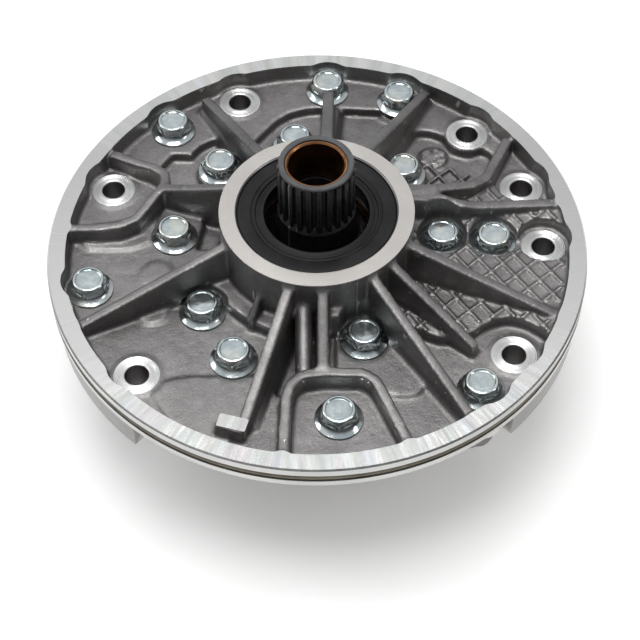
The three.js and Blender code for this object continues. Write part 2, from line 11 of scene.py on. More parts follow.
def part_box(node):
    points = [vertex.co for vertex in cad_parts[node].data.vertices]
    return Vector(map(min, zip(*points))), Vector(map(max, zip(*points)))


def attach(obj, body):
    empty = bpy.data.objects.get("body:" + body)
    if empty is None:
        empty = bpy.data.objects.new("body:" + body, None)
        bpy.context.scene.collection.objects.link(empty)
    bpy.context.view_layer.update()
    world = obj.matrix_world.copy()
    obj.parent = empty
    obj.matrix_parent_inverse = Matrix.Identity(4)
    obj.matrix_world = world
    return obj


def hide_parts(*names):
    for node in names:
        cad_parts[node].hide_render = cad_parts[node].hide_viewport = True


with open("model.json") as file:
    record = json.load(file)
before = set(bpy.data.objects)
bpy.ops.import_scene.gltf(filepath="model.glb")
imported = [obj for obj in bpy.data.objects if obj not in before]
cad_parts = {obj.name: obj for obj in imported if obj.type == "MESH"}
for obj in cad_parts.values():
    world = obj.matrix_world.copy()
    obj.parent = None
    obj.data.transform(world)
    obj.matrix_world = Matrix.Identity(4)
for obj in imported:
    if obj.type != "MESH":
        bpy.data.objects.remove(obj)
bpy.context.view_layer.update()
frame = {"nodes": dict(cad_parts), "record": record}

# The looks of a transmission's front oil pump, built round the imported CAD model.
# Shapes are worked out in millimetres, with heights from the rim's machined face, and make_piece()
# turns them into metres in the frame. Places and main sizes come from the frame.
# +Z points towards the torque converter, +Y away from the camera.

MM = 0.001
MOUNT_PLACES = {mount["name"]: mount["pos_m"] for mount in frame["record"]["mounts"]}
DATUM = Vector((0, 0, MOUNT_PLACES["rim_front_face"][2] / MM))


def size_of(node):
    """Lowest and highest corner of a CAD node, in millimetres from the rim's face."""
    low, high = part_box(node)
    return low / MM - DATUM, high / MM - DATUM


def middle_of(node):
    low, high = size_of(node)
    return (low + high) / 2


# ---- Sizes taken from the frame -------------------------------------------------------------
BODY_LOW, BODY_HIGH = size_of("pump_body")
SHAFT_LOW, SHAFT_HIGH = size_of("stator_shaft")
COVER_LOW, COVER_HIGH = size_of("pump_cover")
RIM_R = BODY_HIGH.x                    # outside of the rim
HUB_TOP = BODY_HIGH.z                  # machined face of the seal hub
BACK_Z = BODY_LOW.z                    # joint face between body and cover
CORE_R = RIM_R - 11
RIM_IN_R = RIM_R - 6.5                 # inner edge of the machined rim face
SKIRT_R = RIM_R - 1
SKIRT_IN_R = RIM_R - 5.5
GROOVE_R = RIM_R - 2.5                 # bottom of the O-ring groove
GROOVE = (size_of("rim_o_ring")[0].z - 0.7, size_of("rim_o_ring")[1].z + 0.7)
RIM_BOTTOM = -9.3
SKIRT_BOTTOM = -22.0
PLATE_BOTTOM = -14.0                   # underside of the floor between core and skirt
WINDOW = (229.0, 313.5)                # the skirt is missing between these angles
WINDOW_R = 83.5
FLOOR = size_of("bolt_01")[0].z + 24   # main floor level; a bolt reaches 24 mm below it
LOW_FLOOR = FLOOR - 4
PLATEAU = FLOOR + 5
HUB_R = 36.5
SEAL_R = 30.0
SEAL_SEAT = 9.0
BUSH_R = 21.6
SPOT_Z = FLOOR + 0.5                   # machined faces round the mounting holes
HOLE_R = 4.4
BOLTS = [f"bolt_{number:02d}" for number in range(1, 16)]
BOLT_CENTRES = [middle_of(name).to_2d() for name in BOLTS]
DRIVEN_CENTRE = middle_of("driven_gear").to_2d()
RING_R = size_of("driven_gear")[1].x - DRIVEN_CENTRE.x
POCKET_TOP = size_of("driven_gear")[1].z + 0.35
MOUNT_R = 87.0
SCALLOP_R = 10.5
COLUMN_R = 9.5                         # columns behind the outer holes
SPOT_R = 8.6
OUTER_BOLTS = BOLT_CENTRES[:5]

COARSE = 1.0
ROUND = 256                            # segments of a large turned face


def polar(radius, degrees, centre=(0.0, 0.0)):
    angle = math.radians(degrees)
    return (centre[0] + radius * math.cos(angle), centre[1] + radius * math.sin(angle))


MOUNT_ANGLES = (111.1, 45.1, 21.5, 1.3, 325.4, 220.7, 157.5)
MOUNT_CENTRES = [Vector(polar(MOUNT_R, angle)) for angle in MOUNT_ANGLES]


# ---- Mesh helpers ---------------------------------------------------------------------------
def tidy(mesh, distance=1e-7):
    """Joins doubled points and turns every face outwards."""
    work = bmesh.new()
    work.from_mesh(mesh)
    bmesh.ops.remove_doubles(work, verts=work.verts, dist=distance)
    bmesh.ops.dissolve_degenerate(work, edges=work.edges, dist=1e-8)
    bmesh.ops.recalc_face_normals(work, faces=work.faces)
    work.to_mesh(mesh)
    work.free()


def make_piece(name, points, faces):
    mesh = bpy.data.meshes.new(name)
    mesh.from_pydata([(Vector(p) + DATUM) * MM for p in points], [], faces)
    tidy(mesh)
    piece = bpy.data.objects.new(name, mesh)
    bpy.context.scene.collection.objects.link(piece)
    return piece


def copy_of(node):
    """A free copy of a CAD node's mesh, with its split points joined again."""
    mesh = frame["nodes"][node].data.copy()
    mesh.materials.clear()
    tidy(mesh, 1e-6)
    piece = bpy.data.objects.new("copy_" + node, mesh)
    bpy.context.scene.collection.objects.link(piece)
    return piece


def drop(piece):
    bpy.data.objects.remove(piece)


def apply_modifiers(piece):
    graph = bpy.context.evaluated_depsgraph_get()
    piece.data = bpy.data.meshes.new_from_object(piece.evaluated_get(graph))
    piece.modifiers.clear()
    return piece


def boolean(piece, tool, operation):
    before = len(piece.data.polygons)
    cut = piece.modifiers.new("cut", "BOOLEAN")
    cut.operation = operation
    cut.solver = "MANIFOLD"
    cut.object = tool
    apply_modifiers(piece)
    if len(piece.data.polygons) == 0 and before:
        raise RuntimeError(f"{operation} with {tool.name} left nothing of {piece.name}")
    drop(tool)
    return piece


def cut(piece, *tools):
    for tool in tools:
        boolean(piece, tool, "DIFFERENCE")
    return piece


def fuse(piece, *others):
    for other in others:
        boolean(piece, other, "UNION")
    return piece


def joined(name, pieces):
    """Puts several closed meshes into one object without merging them."""
    work = bmesh.new()
    for piece in pieces:
        work.from_mesh(piece.data)
        drop(piece)
    mesh = bpy.data.meshes.new(name)
    work.to_mesh(mesh)
    work.free()
    whole = bpy.data.objects.new(name, mesh)
    bpy.context.scene.collection.objects.link(whole)
    return whole


def revolve(name, profile, segments=ROUND, centre=(0.0, 0.0)):
    """A closed [radius, z] profile turned about an upright axis. A radius may be a function of the angle."""
    count = len(profile)
    points = []
    for i in range(segments):
        angle = 2 * math.pi * i / segments
        for radius, z in profile:
            r = radius(angle) if callable(radius) else radius
            points.append((centre[0] + r * math.cos(angle), centre[1] + r * math.sin(angle), z))
    faces = []
    for i in range(segments):
        here, there = i * count, (i + 1) % segments * count
        for j in range(count):
            k = (j + 1) % count
            faces.append((here + j, there + j, there + k, here + k))
    return make_piece(name, points, faces)


def cylinder(name, radius, bottom, top, centre=(0.0, 0.0), segments=48):
    return revolve(name, [(0, bottom), (radius, bottom), (radius, top), (0, top)], segments, centre)


def prism(name, outline, bottom, top, draft=0.0):
    """An upright prism; with a draft its top outline is drawn in towards the middle."""
    count = len(outline)
    middle = np.mean(outline, axis=0)
    points = [(x, y, bottom) for x, y in outline]
    for x, y in outline:
        offset = np.array([x, y]) - middle
        scale = max(0.0, 1 - draft / np.linalg.norm(offset))
        points.append((*(middle + offset * scale), top))
    faces = [tuple(range(count)), tuple(range(count, 2 * count))]
    faces += [(i, (i + 1) % count, (i + 1) % count + count, i + count) for i in range(count)]
    return make_piece(name, points, faces)


def arc(radius, start, end, steps, centre=(0.0, 0.0)):
    return [polar(radius, start + (end - start) * i / steps, centre) for i in range(steps + 1)]


def wall(name, stations, top_width, base_width, bottom):
    """A wall with sloping sides that runs through [x, y, top] stations."""
    path = np.array([s[:2] for s in stations], float)
    points = []
    for i, (x, y, top) in enumerate(stations):
        ahead = path[min(i + 1, len(path) - 1)] - path[i]
        behind = path[i] - path[max(i - 1, 0)]
        along = ahead / (np.linalg.norm(ahead) or 1) + behind / (np.linalg.norm(behind) or 1)
        along /= np.linalg.norm(along)
        side = np.array([-along[1], along[0]])
        for width, z in ((-base_width, bottom), (base_width, bottom), (top_width, top), (-top_width, top)):
            points.append((x + side[0] * width / 2, y + side[1] * width / 2, z))
    faces = [(0, 1, 2, 3)]
    last = 4 * (len(stations) - 1)
    faces.append((last, last + 1, last + 2, last + 3))
    for i in range(len(stations) - 1):
        for j in range(4):
            k = (j + 1) % 4
            faces.append((4 * i + j, 4 * i + k, 4 * i + 4 + k, 4 * i + 4 + j))
    return make_piece(name, points, faces)


def remesh(piece, voxel):
    step = piece.modifiers.new("remesh", "REMESH")
    step.mode = "VOXEL"
    step.voxel_size = voxel * MM * COARSE
    return apply_modifiers(piece)


def soften(piece, rounds, factor=0.5):
    step = piece.modifiers.new("soften", "SMOOTH")
    step.iterations = max(1, round(rounds / COARSE))
    step.factor = factor
    return apply_modifiers(piece)


def thin_out(piece, triangles):
    """Merges small faces where the surface is plain, down to about this many triangles."""
    count = sum(len(p.vertices) - 2 for p in piece.data.polygons)
    if count > triangles:
        step = piece.modifiers.new("thin", "DECIMATE")
        step.ratio = triangles / count
        apply_modifiers(piece)
    return piece


def shade(piece, sharp_degrees=32.0):
    """Smooth shading, with creases left sharp."""
    work = bmesh.new()
    work.from_mesh(piece.data)
    limit = math.radians(sharp_degrees)
    for face in work.faces:
        face.smooth = True
    for edge in work.edges:
        edge.smooth = len(edge.link_faces) == 2 and edge.calc_face_angle(0.0) < limit
    work.to_mesh(piece.data)
    work.free()
    return piece


def break_up(piece, longest, above):
    """Splits long edges above a level, so that the painted corner shade and the lightened edges, which follow the
    curvature at the points, don't spread over a large face.
    """
    work = bmesh.new()
    work.from_mesh(piece.data)
    limit, floor = longest * MM, (above + DATUM.z) * MM
    bmesh.ops.triangulate(work, faces=work.faces)
    for _ in range(5):
        long = [
            e for e in work.edges
            if e.calc_length() > limit and min(v.co.z for v in e.verts) > floor
        ]
        if not long:
            break
        bmesh.ops.subdivide_edges(work, edges=long, cuts=1)
        bmesh.ops.triangulate(work, faces=[f for f in work.faces if len(f.verts) > 3])
    work.to_mesh(piece.data)
    work.free()
    return piece


def true_turned_faces(piece, *materials):
    """Gives flat and turned faces of these materials the exact direction that a lathe leaves."""
    mesh = piece.data
    corners = np.zeros(3 * len(mesh.loops))
    mesh.corner_normals.foreach_get("vector", corners)
    corners = corners.reshape(-1, 3)
    for face in mesh.polygons:
        if face.material_index not in materials:
            continue
        levels = [mesh.vertices[v].co.z for v in face.vertices]
        flat = max(levels) - min(levels) < 1e-6
        for loop in face.loop_indices:
            if flat:
                corners[loop] = (0, 0, math.copysign(1, face.normal.z))
            elif abs(face.normal.z) < 0.05:
                outward = mesh.vertices[mesh.loops[loop].vertex_index].co.to_2d().normalized()
                facing = outward.dot(face.normal.to_2d())
                if abs(facing) > 0.97:
                    corners[loop] = (*(outward * math.copysign(1, facing)), 0)
    mesh.normals_split_custom_set([tuple(c) for c in corners])
    return piece


def rounded(profile, radius, steps=3):
    """A closed profile with each corner turned into a short curve."""
    result = []
    count = len(profile)
    for i in range(count):
        here = np.array(profile[i], float)
        before, after = np.array(profile[i - 1], float), np.array(profile[(i + 1) % count], float)
        back, ahead = before - here, after - here
        reach = min(radius, 0.45 * np.linalg.norm(back), 0.45 * np.linalg.norm(ahead))
        start = here + back / np.linalg.norm(back) * reach
        end = here + ahead / np.linalg.norm(ahead) * reach
        for step in range(steps + 1):
            t = step / steps
            result.append(tuple((1 - t) ** 2 * start + 2 * t * (1 - t) * here + t * t * end))
    return result


# ---- Shader helpers -------------------------------------------------------------------------
class Shader:
    """A node material written line by line."""

    def __init__(self, name):
        self.material = bpy.data.materials.new(name)
        self.material.use_nodes = True
        self.tree = self.material.node_tree
        self.surface = self.tree.nodes["Principled BSDF"]
        coordinates = self.tree.nodes.new("ShaderNodeTexCoord")
        self.place = coordinates.outputs["Object"]

    def put(self, socket, value):
        if isinstance(value, bpy.types.NodeSocket):
            self.tree.links.new(value, socket)
        else:
            socket.default_value = value

    def node(self, kind, inputs=None, **settings):
        made = self.tree.nodes.new("ShaderNode" + kind)
        for key, value in settings.items():
            setattr(made, key, value)
        for key, value in (inputs or {}).items():
            self.put(made.inputs[key], value)
        return made

    def math(self, operation, a, b=0.0, c=0.0):
        return self.node("Math", {0: a, 1: b, 2: c}, operation=operation).outputs[0]

    def vector(self, operation, a, b=(0, 0, 0)):
        return self.node("VectorMath", {0: a, 1: b}, operation=operation)

    def scaled(self, vector, factor):
        made = self.node("VectorMath", {0: vector, "Scale": factor}, operation="SCALE")
        return made.outputs[0]

    def noise(self, scale, detail=3.0, roughness=0.55, place=None):
        inputs = {"Scale": scale, "Detail": detail, "Roughness": roughness, "Vector": place or self.place}
        return self.node("TexNoise", inputs).outputs["Fac"]

    def ramp(self, value, low, high, start=0.0, end=1.0):
        """Colours or greys from low to high as value goes from start to end."""
        made = self.node("ValToRGB", {"Fac": value})
        elements = made.color_ramp.elements
        elements[0].position, elements[1].position = start, end
        elements[0].color = (*low, 1) if isinstance(low, tuple) else (low, low, low, 1)
        elements[1].color = (*high, 1) if isinstance(high, tuple) else (high, high, high, 1)
        return made.outputs["Color"]

    def mix(self, factor, a, b, blend="MIX"):
        made = self.node("Mix", data_type="RGBA", blend_type=blend)
        self.put(made.inputs[0], factor)
        for socket, value in ((made.inputs[6], a), (made.inputs[7], b)):
            self.put(socket, (*value, 1) if isinstance(value, tuple) and len(value) == 3 else value)
        return made.outputs[2]

    def bump(self, height, distance, strength=1.0, normal=None):
        made = self.node("Bump", {"Height": height, "Distance": distance, "Strength": strength})
        if normal is not None:
            self.put(made.inputs["Normal"], normal)
        return made.outputs["Normal"]

    def finish(self, **inputs):
        for key, value in inputs.items():
            if isinstance(value, tuple) and len(value) == 3:
                value = (*value, 1)
            self.put(self.surface.inputs[key.replace("_", " ")], value)
        return self.material


# ---- Materials ------------------------------------------------------------------------------
def cast_aluminium():
    """Die-cast skin: fine grain, soft stains, edges lightened partly as rubbed wear and partly as a painted
    highlight, and painted shade darkening the corners.
    """
    s = Shader("cast_aluminium")
    grain = s.noise(1500, 4, 0.6)
    flow = s.noise(260, 3, 0.5)
    stain = s.noise(45, 4, 0.6)
    geometry = s.node("NewGeometry")
    curvature = geometry.outputs["Pointiness"]
    level = s.node("SeparateXYZ", {0: geometry.outputs["True Normal"]}).outputs["Z"]
    base = s.ramp(stain, (0.16, 0.154, 0.152), (0.265, 0.256, 0.252), 0.3, 0.7)
    speckle = s.ramp(grain, 0.78, 1.1, 0.3, 0.7)
    base = s.mix(1.0, base, speckle, "MULTIPLY")
    # painted shade: darker in hollows and corners, where the curvature is low
    base = s.mix(1.0, base, s.ramp(curvature, 0.45, 1.0, 0.42, 0.5), "MULTIPLY")
    # lighter on convex edges, except on flat faces: partly rubbed wear, partly a painted highlight
    edge = s.ramp(curvature, 0.0, 1.0, 0.53, 0.61)
    edge = s.math("MULTIPLY", edge, s.ramp(level, 1.0, 0.0, 0.93, 0.985))
    base = s.mix(edge, base, (0.60, 0.58, 0.56))
    normal = s.bump(flow, 0.00035, 0.55)
    normal = s.bump(grain, 0.00018, 0.7, normal)
    rough = s.math("MULTIPLY_ADD", flow, 0.25, 0.33)
    return s.finish(Base_Color=base, Metallic=0.9, Roughness=rough, Normal=normal)


def ring_direction(s, turns):
    """A place on a circle, so that a texture repeats with the angle and has no seam."""
    flat = s.vector("MULTIPLY", s.place, (1, 1, 0)).outputs[0]
    unit = s.vector("NORMALIZE", flat).outputs[0]
    radius = s.vector("LENGTH", flat).outputs["Value"]
    return s.scaled(unit, turns), radius


def machined_rim():
    """Face-milled metal: the cutter's chatter stands across the rim, with a faint film of colours. Towards the
    front and back the colour is a painted highlight, brighter, with stronger chatter painted darker.
    """
    s = Shader("machined_rim")
    spokes, radius = ring_direction(s, 22)
    spokes = s.vector("ADD", spokes, s.node("CombineXYZ", {2: s.math("MULTIPLY", radius, 40)}).outputs[0])
    chatter = s.noise(1.0, 2, 0.5, spokes.outputs[0])
    streaks, _ = ring_direction(s, 200)
    fine = s.noise(1.0, 2, 0.6, streaks)
    # painted highlight: the rim's front and back get the bright film tint and strong chatter, while its left and
    # right stay plain grey
    depth = s.node("SeparateXYZ", {0: s.vector("NORMALIZE", s.place).outputs[0]}).outputs["Y"]
    broad, _ = ring_direction(s, 3.0)
    drift = s.math("MULTIPLY", s.noise(1.0, 1, 0.4, broad), 0.5)
    highlight_and_chatter_zone = s.math("ADD", s.math("MULTIPLY", s.math("ABSOLUTE", depth), 0.9), drift)
    lines = s.node("TexWave", {"Scale": 1, "Distortion": 0.4, "Detail": 1,
                               "Vector": s.node("CombineXYZ", {0: s.math("MULTIPLY", radius, 900)}).outputs[0]})
    film, _ = ring_direction(s, 9)
    film = s.noise(1.0, 1, 0.4, film)
    film_and_highlight_tint = s.node("ValToRGB", {"Fac": film})
    colours = [(0.84, 0.80, 0.80), (0.80, 0.82, 0.84), (0.80, 0.84, 0.81), (0.84, 0.83, 0.79)]
    stops = film_and_highlight_tint.color_ramp.elements
    for i, colour in enumerate(colours):
        stop = stops[i] if i < 2 else stops.new(0.5)
        stop.color = (*colour, 1)
    for i, position in enumerate((0.36, 0.46, 0.56, 0.66)):
        stops[i].position = position
    # painted highlight: from the plain grey to the bright film tint where the zone is strong
    strength = s.ramp(highlight_and_chatter_zone, 0.03, 1.0, 0.62, 1.0)
    base = s.mix(strength, (0.60, 0.60, 0.585), film_and_highlight_tint.outputs["Color"])
    shadow = s.mix(strength, (1.0, 1.0, 1.0), s.ramp(chatter, 0.80, 1.0, 0.35, 0.6))
    base = s.mix(1.0, base, shadow, "MULTIPLY")
    normal = s.bump(chatter, 0.0006, strength)
    normal = s.bump(fine, 0.000008, 0.5, normal)
    normal = s.bump(lines.outputs["Fac"], 0.000004, 0.4, normal)
    tangent = s.node("Tangent", direction_type="RADIAL", axis="Z").outputs[0]
    rough = s.math("MULTIPLY_ADD", fine, 0.08, 0.22)
    return s.finish(Base_Color=base, Metallic=1.0, Roughness=rough, Normal=normal,
                    Anisotropic=0.4, Tangent=tangent)


def turned_face(name, colour, centres, pitch=0.32, roughness=0.3, depth=0.00002):
    """Fine rings about the nearest of some centres, as a facing tool leaves them."""
    s = Shader(name)
    nearest = None
    for x, y in centres:
        flat = s.vector("MULTIPLY", s.place, (1, 1, 0)).outputs[0]
        away = s.vector("DISTANCE", flat, (x * MM, y * MM, 0)).outputs["Value"]
        nearest = away if nearest is None else s.math("MINIMUM", nearest, away)
    wobble = s.noise(300, 2)
    phase = s.math("MULTIPLY_ADD", nearest, 2 * math.pi / (pitch * MM), s.math("MULTIPLY", wobble, 1.5))
    rings = s.math("SINE", phase)
    broad = s.math("SINE", s.math("MULTIPLY", nearest, 2 * math.pi / (pitch * 4.3 * MM)))
    stain = s.noise(70, 3)
    base = s.mix(s.ramp(stain, 0.0, 1.0, 0.35, 0.7), colour, tuple(c * 0.86 for c in colour))
    base = s.mix(1.0, base, s.ramp(s.math("MULTIPLY_ADD", broad, 0.5, 0.5), 0.96, 1.0), "MULTIPLY")
    normal = s.bump(rings, depth, 0.8)
    normal = s.bump(broad, depth * 1.5, 0.5, normal)
    rough = s.math("MULTIPLY_ADD", stain, 0.15, roughness - 0.06)
    return s.finish(Base_Color=base, Metallic=1.0, Roughness=rough, Normal=normal)


def turned_side(name="turned_side", bright=(0.62, 0.62, 0.61), dull=(0.48, 0.48, 0.47)):
    """Lathe lines run round an upright wall, a hair apart."""
    s = Shader(name)
    height = s.node("SeparateXYZ", {0: s.place}).outputs["Z"]
    stack = s.node("CombineXYZ", {2: s.math("MULTIPLY", height, 2600)}).outputs[0]
    lines = s.noise(1.0, 3, 0.6, stack)
    stain = s.noise(35, 3)
    base = s.mix(s.ramp(stain, 0.0, 1.0, 0.35, 0.7), bright, dull)
    base = s.mix(1.0, base, s.ramp(lines, 0.8, 1.0, 0.3, 0.7), "MULTIPLY")
    normal = s.bump(lines, 0.00003, 0.8)
    rough = s.math("MULTIPLY_ADD", lines, 0.2, 0.22)
    return s.finish(Base_Color=base, Metallic=1.0, Roughness=rough, Normal=normal)


def zinc_plate():
    """Bright bluish zinc with faint rainbow stains, small dents from the socket and painted shade in its hollows
    and creases.
    """
    s = Shader("zinc_plate")
    own = s.node("ObjectInfo").outputs["Random"]
    place = s.vector("ADD", s.place, s.scaled(s.node("CombineXYZ", {0: own, 1: own}).outputs[0], 3.0))
    cloud = s.noise(260, 3, 0.5, place.outputs[0])
    grain = s.noise(1500, 3, 0.65, place.outputs[0])
    film = s.noise(90, 2, 0.5, place.outputs[0])
    base = s.mix(s.ramp(cloud, 0.0, 1.0, 0.35, 0.65), (0.50, 0.57, 0.59), (0.68, 0.73, 0.73))
    base = s.mix(s.ramp(film, 0.0, 0.4, 0.5, 0.7), base, (0.78, 0.76, 0.62))
    curvature = s.node("NewGeometry").outputs["Pointiness"]
    # painted shade: darker where the surface is hollow or creased
    base = s.mix(1.0, base, s.ramp(curvature, 0.55, 1.0, 0.4, 0.495), "MULTIPLY")
    normal = s.bump(cloud, 0.0003, 0.4)
    normal = s.bump(grain, 0.00004, 0.6, normal)
    rough = s.math("MULTIPLY_ADD", cloud, 0.2, 0.05)
    return s.finish(Base_Color=base, Metallic=1.0, Roughness=rough, Normal=normal)


def black_rubber(name="seal_rubber", colour=(0.006, 0.006, 0.0065), roughness=0.5):
    s = Shader(name)
    skin = s.noise(1800, 3, 0.6)
    smear = s.noise(120, 4, 0.6)
    base = s.mix(s.ramp(smear, 0.0, 1.0, 0.4, 0.75), colour, tuple(c * 1.9 + 0.004 for c in colour))
    normal = s.bump(skin, 0.00003, 0.7)
    rough = s.math("MULTIPLY_ADD", smear, 0.3, roughness - 0.1)
    return s.finish(Base_Color=base, Roughness=rough, Normal=normal, Specular_IOR_Level=0.22)


def black_oxide():
    """Oiled black steel, grey on the highest edges: partly worn oxide, partly a painted highlight."""
    s = Shader("black_oxide")
    mottle = s.noise(350, 4, 0.6)
    grain = s.noise(2400, 2, 0.6)
    curvature = s.node("NewGeometry").outputs["Pointiness"]
    base = s.mix(s.ramp(mottle, 0.0, 1.0, 0.35, 0.7), (0.020, 0.021, 0.023), (0.045, 0.046, 0.050))
    # grey on convex edges such as the spline tops: partly worn oxide, partly a painted highlight
    base = s.mix(s.ramp(curvature, 0.0, 0.55, 0.53, 0.66), base, (0.30, 0.31, 0.32))
    normal = s.bump(mottle, 0.00008, 0.5)
    normal = s.bump(grain, 0.00002, 0.6, normal)
    rough = s.math("MULTIPLY_ADD", mottle, 0.2, 0.22)
    return s.finish(Base_Color=base, Metallic=0.85, Roughness=rough, Normal=normal)


def bronze(name="bronze", bright=(0.40, 0.20, 0.09), oiled=(0.22, 0.10, 0.045)):
    """Bored bearing bronze: fine lines round the bore and darker patches of oil."""
    s = Shader(name)
    height = s.node("SeparateXYZ", {0: s.place}).outputs["Z"]
    stack = s.node("CombineXYZ", {2: s.math("MULTIPLY", height, 4000)}).outputs[0]
    lines = s.noise(1.0, 2, 0.6, stack)
    oil = s.noise(140, 3, 0.6)
    base = s.mix(s.ramp(oil, 0.0, 1.0, 0.35, 0.7), oiled, bright)
    normal = s.bump(lines, 0.00002, 0.8)
    rough = s.math("MULTIPLY_ADD", oil, 0.2, 0.2)
    return s.finish(Base_Color=base, Metallic=1.0, Roughness=rough, Normal=normal)


def ground_steel(name, colour, roughness=0.3):
    """Ground steel with short crossing scratches."""
    s = Shader(name)
    place = s.vector("MULTIPLY", s.place, (1, 14, 1)).outputs[0]
    scratches = s.noise(420, 4, 0.7, place)
    cloud = s.noise(150, 3)
    base = s.mix(s.ramp(cloud, 0.0, 1.0, 0.35, 0.7), colour, tuple(c * 0.75 for c in colour))
    normal = s.bump(scratches, 0.00003, 0.5)
    rough = s.math("MULTIPLY_ADD", scratches, 0.25, roughness - 0.1)
    return s.finish(Base_Color=base, Metallic=1.0, Roughness=rough, Normal=normal)


def studio_floor():
    s = Shader("studio_floor")
    mottle = s.noise(14, 2)
    base = s.ramp(mottle, (0.88, 0.88, 0.87), (0.91, 0.91, 0.90), 0.3, 0.7)
    return s.finish(Base_Color=base, Roughness=0.75, Emission_Color=base, Emission_Strength=0.22, Normal=s.bump(mottle, 0.0004, 0.1))


CAST = cast_aluminium()
RIM_FACE = machined_rim()
HUB_FACE = turned_face("hub_face", (0.60, 0.575, 0.545), [(0, 0)], 0.24, 0.36, 0.000006)
SPOT_FACE = turned_face("spot_face", (0.72, 0.72, 0.71), MOUNT_CENTRES, 0.55, 0.27, 0.00004)
SIDE_FACE = turned_side()
SKIRT_FACE = turned_side("skirt_face", (0.27, 0.265, 0.26), (0.2, 0.197, 0.195))
BORE_FACE = turned_face("bored_wall", (0.34, 0.33, 0.33), [(0, 0)], 0.5, 0.35)
ZINC = zinc_plate()
RUBBER = black_rubber()
O_RING = black_rubber("o_ring_rubber", (0.12, 0.104, 0.078), 0.4)
RING_POLYMER = black_rubber("ring_polymer", (0.03, 0.028, 0.026), 0.35)
BLACK_STEEL = black_oxide()
WORN_STEEL = ground_steel("worn_black_steel", (0.135, 0.137, 0.14), 0.42)
BRONZE = bronze()
# a darker copy of the bronze: painted shade for the converter hub bush deep behind the seal lip
SHADED_BRONZE = bronze("shaded_bronze", (0.07, 0.045, 0.03), (0.035, 0.024, 0.018))
BUSH_BACK = ground_steel("bush_steel_back", (0.72, 0.71, 0.69), 0.25)
GEAR_STEEL = ground_steel("gear_steel", (0.56, 0.57, 0.59))
SPRING_STEEL = ground_steel("spring_steel", (0.6, 0.6, 0.6), 0.25)


# ---- The cast body --------------------------------------------------------------------------
def between_lines(polygon, holes, start, direction):
    """Stretches of a line that lie inside a polygon and outside some round holes."""
    start, direction = np.array(start, float), np.array(direction, float)
    crossings = []
    count = len(polygon)
    for i in range(count):
        a, b = np.array(polygon[i]), np.array(polygon[(i + 1) % count])
        matrix = np.column_stack([direction, a - b])
        if abs(np.linalg.det(matrix)) < 1e-9:
            continue
        along, share = np.linalg.solve(matrix, a - start)
        if 0 <= share < 1:
            crossings.append(along)
    crossings.sort()
    stretches = [list(pair) for pair in zip(crossings[::2], crossings[1::2])]
    for centre, radius in holes:
        nearest = float(np.dot(np.array(centre) - start, direction) / np.dot(direction, direction))
        gap = np.linalg.norm(start + direction * nearest - np.array(centre))
        if gap >= radius:
            continue
        half = math.sqrt(radius ** 2 - gap ** 2) / np.linalg.norm(direction)
        kept = []
        for low, high in stretches:
            kept.append([low, min(high, nearest - half)])
            kept.append([max(low, nearest + half), high])
        stretches = [pair for pair in kept if pair[1] - pair[0] > 1e-6]
    shortest = 1.5 / np.linalg.norm(direction)
    return [
        (start + direction * low, start + direction * high)
        for low, high in stretches if high - low > shortest
    ]


LATTICE_START = (61.2, -8.0)
LATTICE_DOWN = (4.3, -6.3)
LATTICE_UP = (4.6, 4.1)


def lattice(polygon, holes, level, height=0.95):
    """Thin crossing ribs that stiffen a flat part of the casting."""
    walls = []
    families = ((LATTICE_DOWN, LATTICE_UP), (LATTICE_UP, LATTICE_DOWN))
    for direction, step in families:
        for k in range(-14, 15):
            start = np.array(LATTICE_START) + np.array(step) * k
            for a, b in between_lines(polygon, holes, start, direction):
                stations = [(*a, level + height), (*b, level + height)]
                walls.append(wall("lattice", stations, 0.75, 1.9, level - 1))
    return walls


def lattice_walls():
    clear = [(c, 10.4) for c in BOLT_CENTRES[5:]] + [(c, 11.0) for c in MOUNT_CENTRES]
    plateau = [
        polar(37.5, 304), (36, -40.5), (45, -43), (54, -42), (61, -37), (68, -34.5), (77, -36.5), (84, -42),
        *arc(94, 334, 370, 6), (88, 21), (72, 29), (66.4, 28.5), (60, 23), (44, 17.5), polar(37.5, 27),
    ]
    upper = [(33, 24), (60, 28), (68, 33), (68, 38), (60, 43.5), (53, 47), (47, 48), (42, 47.5), (36, 41)]
    return lattice(plateau, clear, PLATEAU) + lattice(upper, clear, LOW_FLOOR, 1.6)


def rim_stock():
    """The uncut ring of the rim, with a cast hollow beside each outer hole."""
    ring = revolve("rim_stock", [
        (RIM_IN_R - 0.15, 1.2), (RIM_R + 0.9, 1.2), (RIM_R + 0.9, -12), (RIM_IN_R - 1.6, -12),
    ])
    hollows = [cylinder("hollow", SCALLOP_R, FLOOR, 3, c) for c in [*MOUNT_CENTRES, *OUTER_BOLTS]]
    return cut(ring, *hollows)


def rib_feet():
    """Wide low feet that become the fillets along the roots of the long ribs."""
    reach = [
        (202.6, 93, 1.5), (120.8, 90, 1.5), (84.5, 77, 1.5), (60.3, 92, 1.5), (253, 84, 1.2),
        (303.7, 93, 1.2), (337, 93, 1.0),
    ]
    feet = []
    for angle, end, height in reach:
        stations = [(*polar(HUB_R, angle), FLOOR + height + 2), (*polar(end, angle), FLOOR + height)]
        feet.append(wall("foot", stations, 4.6, 8.6, LOW_FLOOR - 1))
    return feet


def hub_foot():
    """The fillet round the foot of the hub."""
    return revolve("hub_foot", [
        (HUB_R - 3, LOW_FLOOR - 1), (HUB_R + 4, LOW_FLOOR - 1), (HUB_R + 1.6, LOW_FLOOR + 1.4),
        (HUB_R + 0.3, LOW_FLOOR + 5), (HUB_R - 3, LOW_FLOOR + 6),
    ], 128)


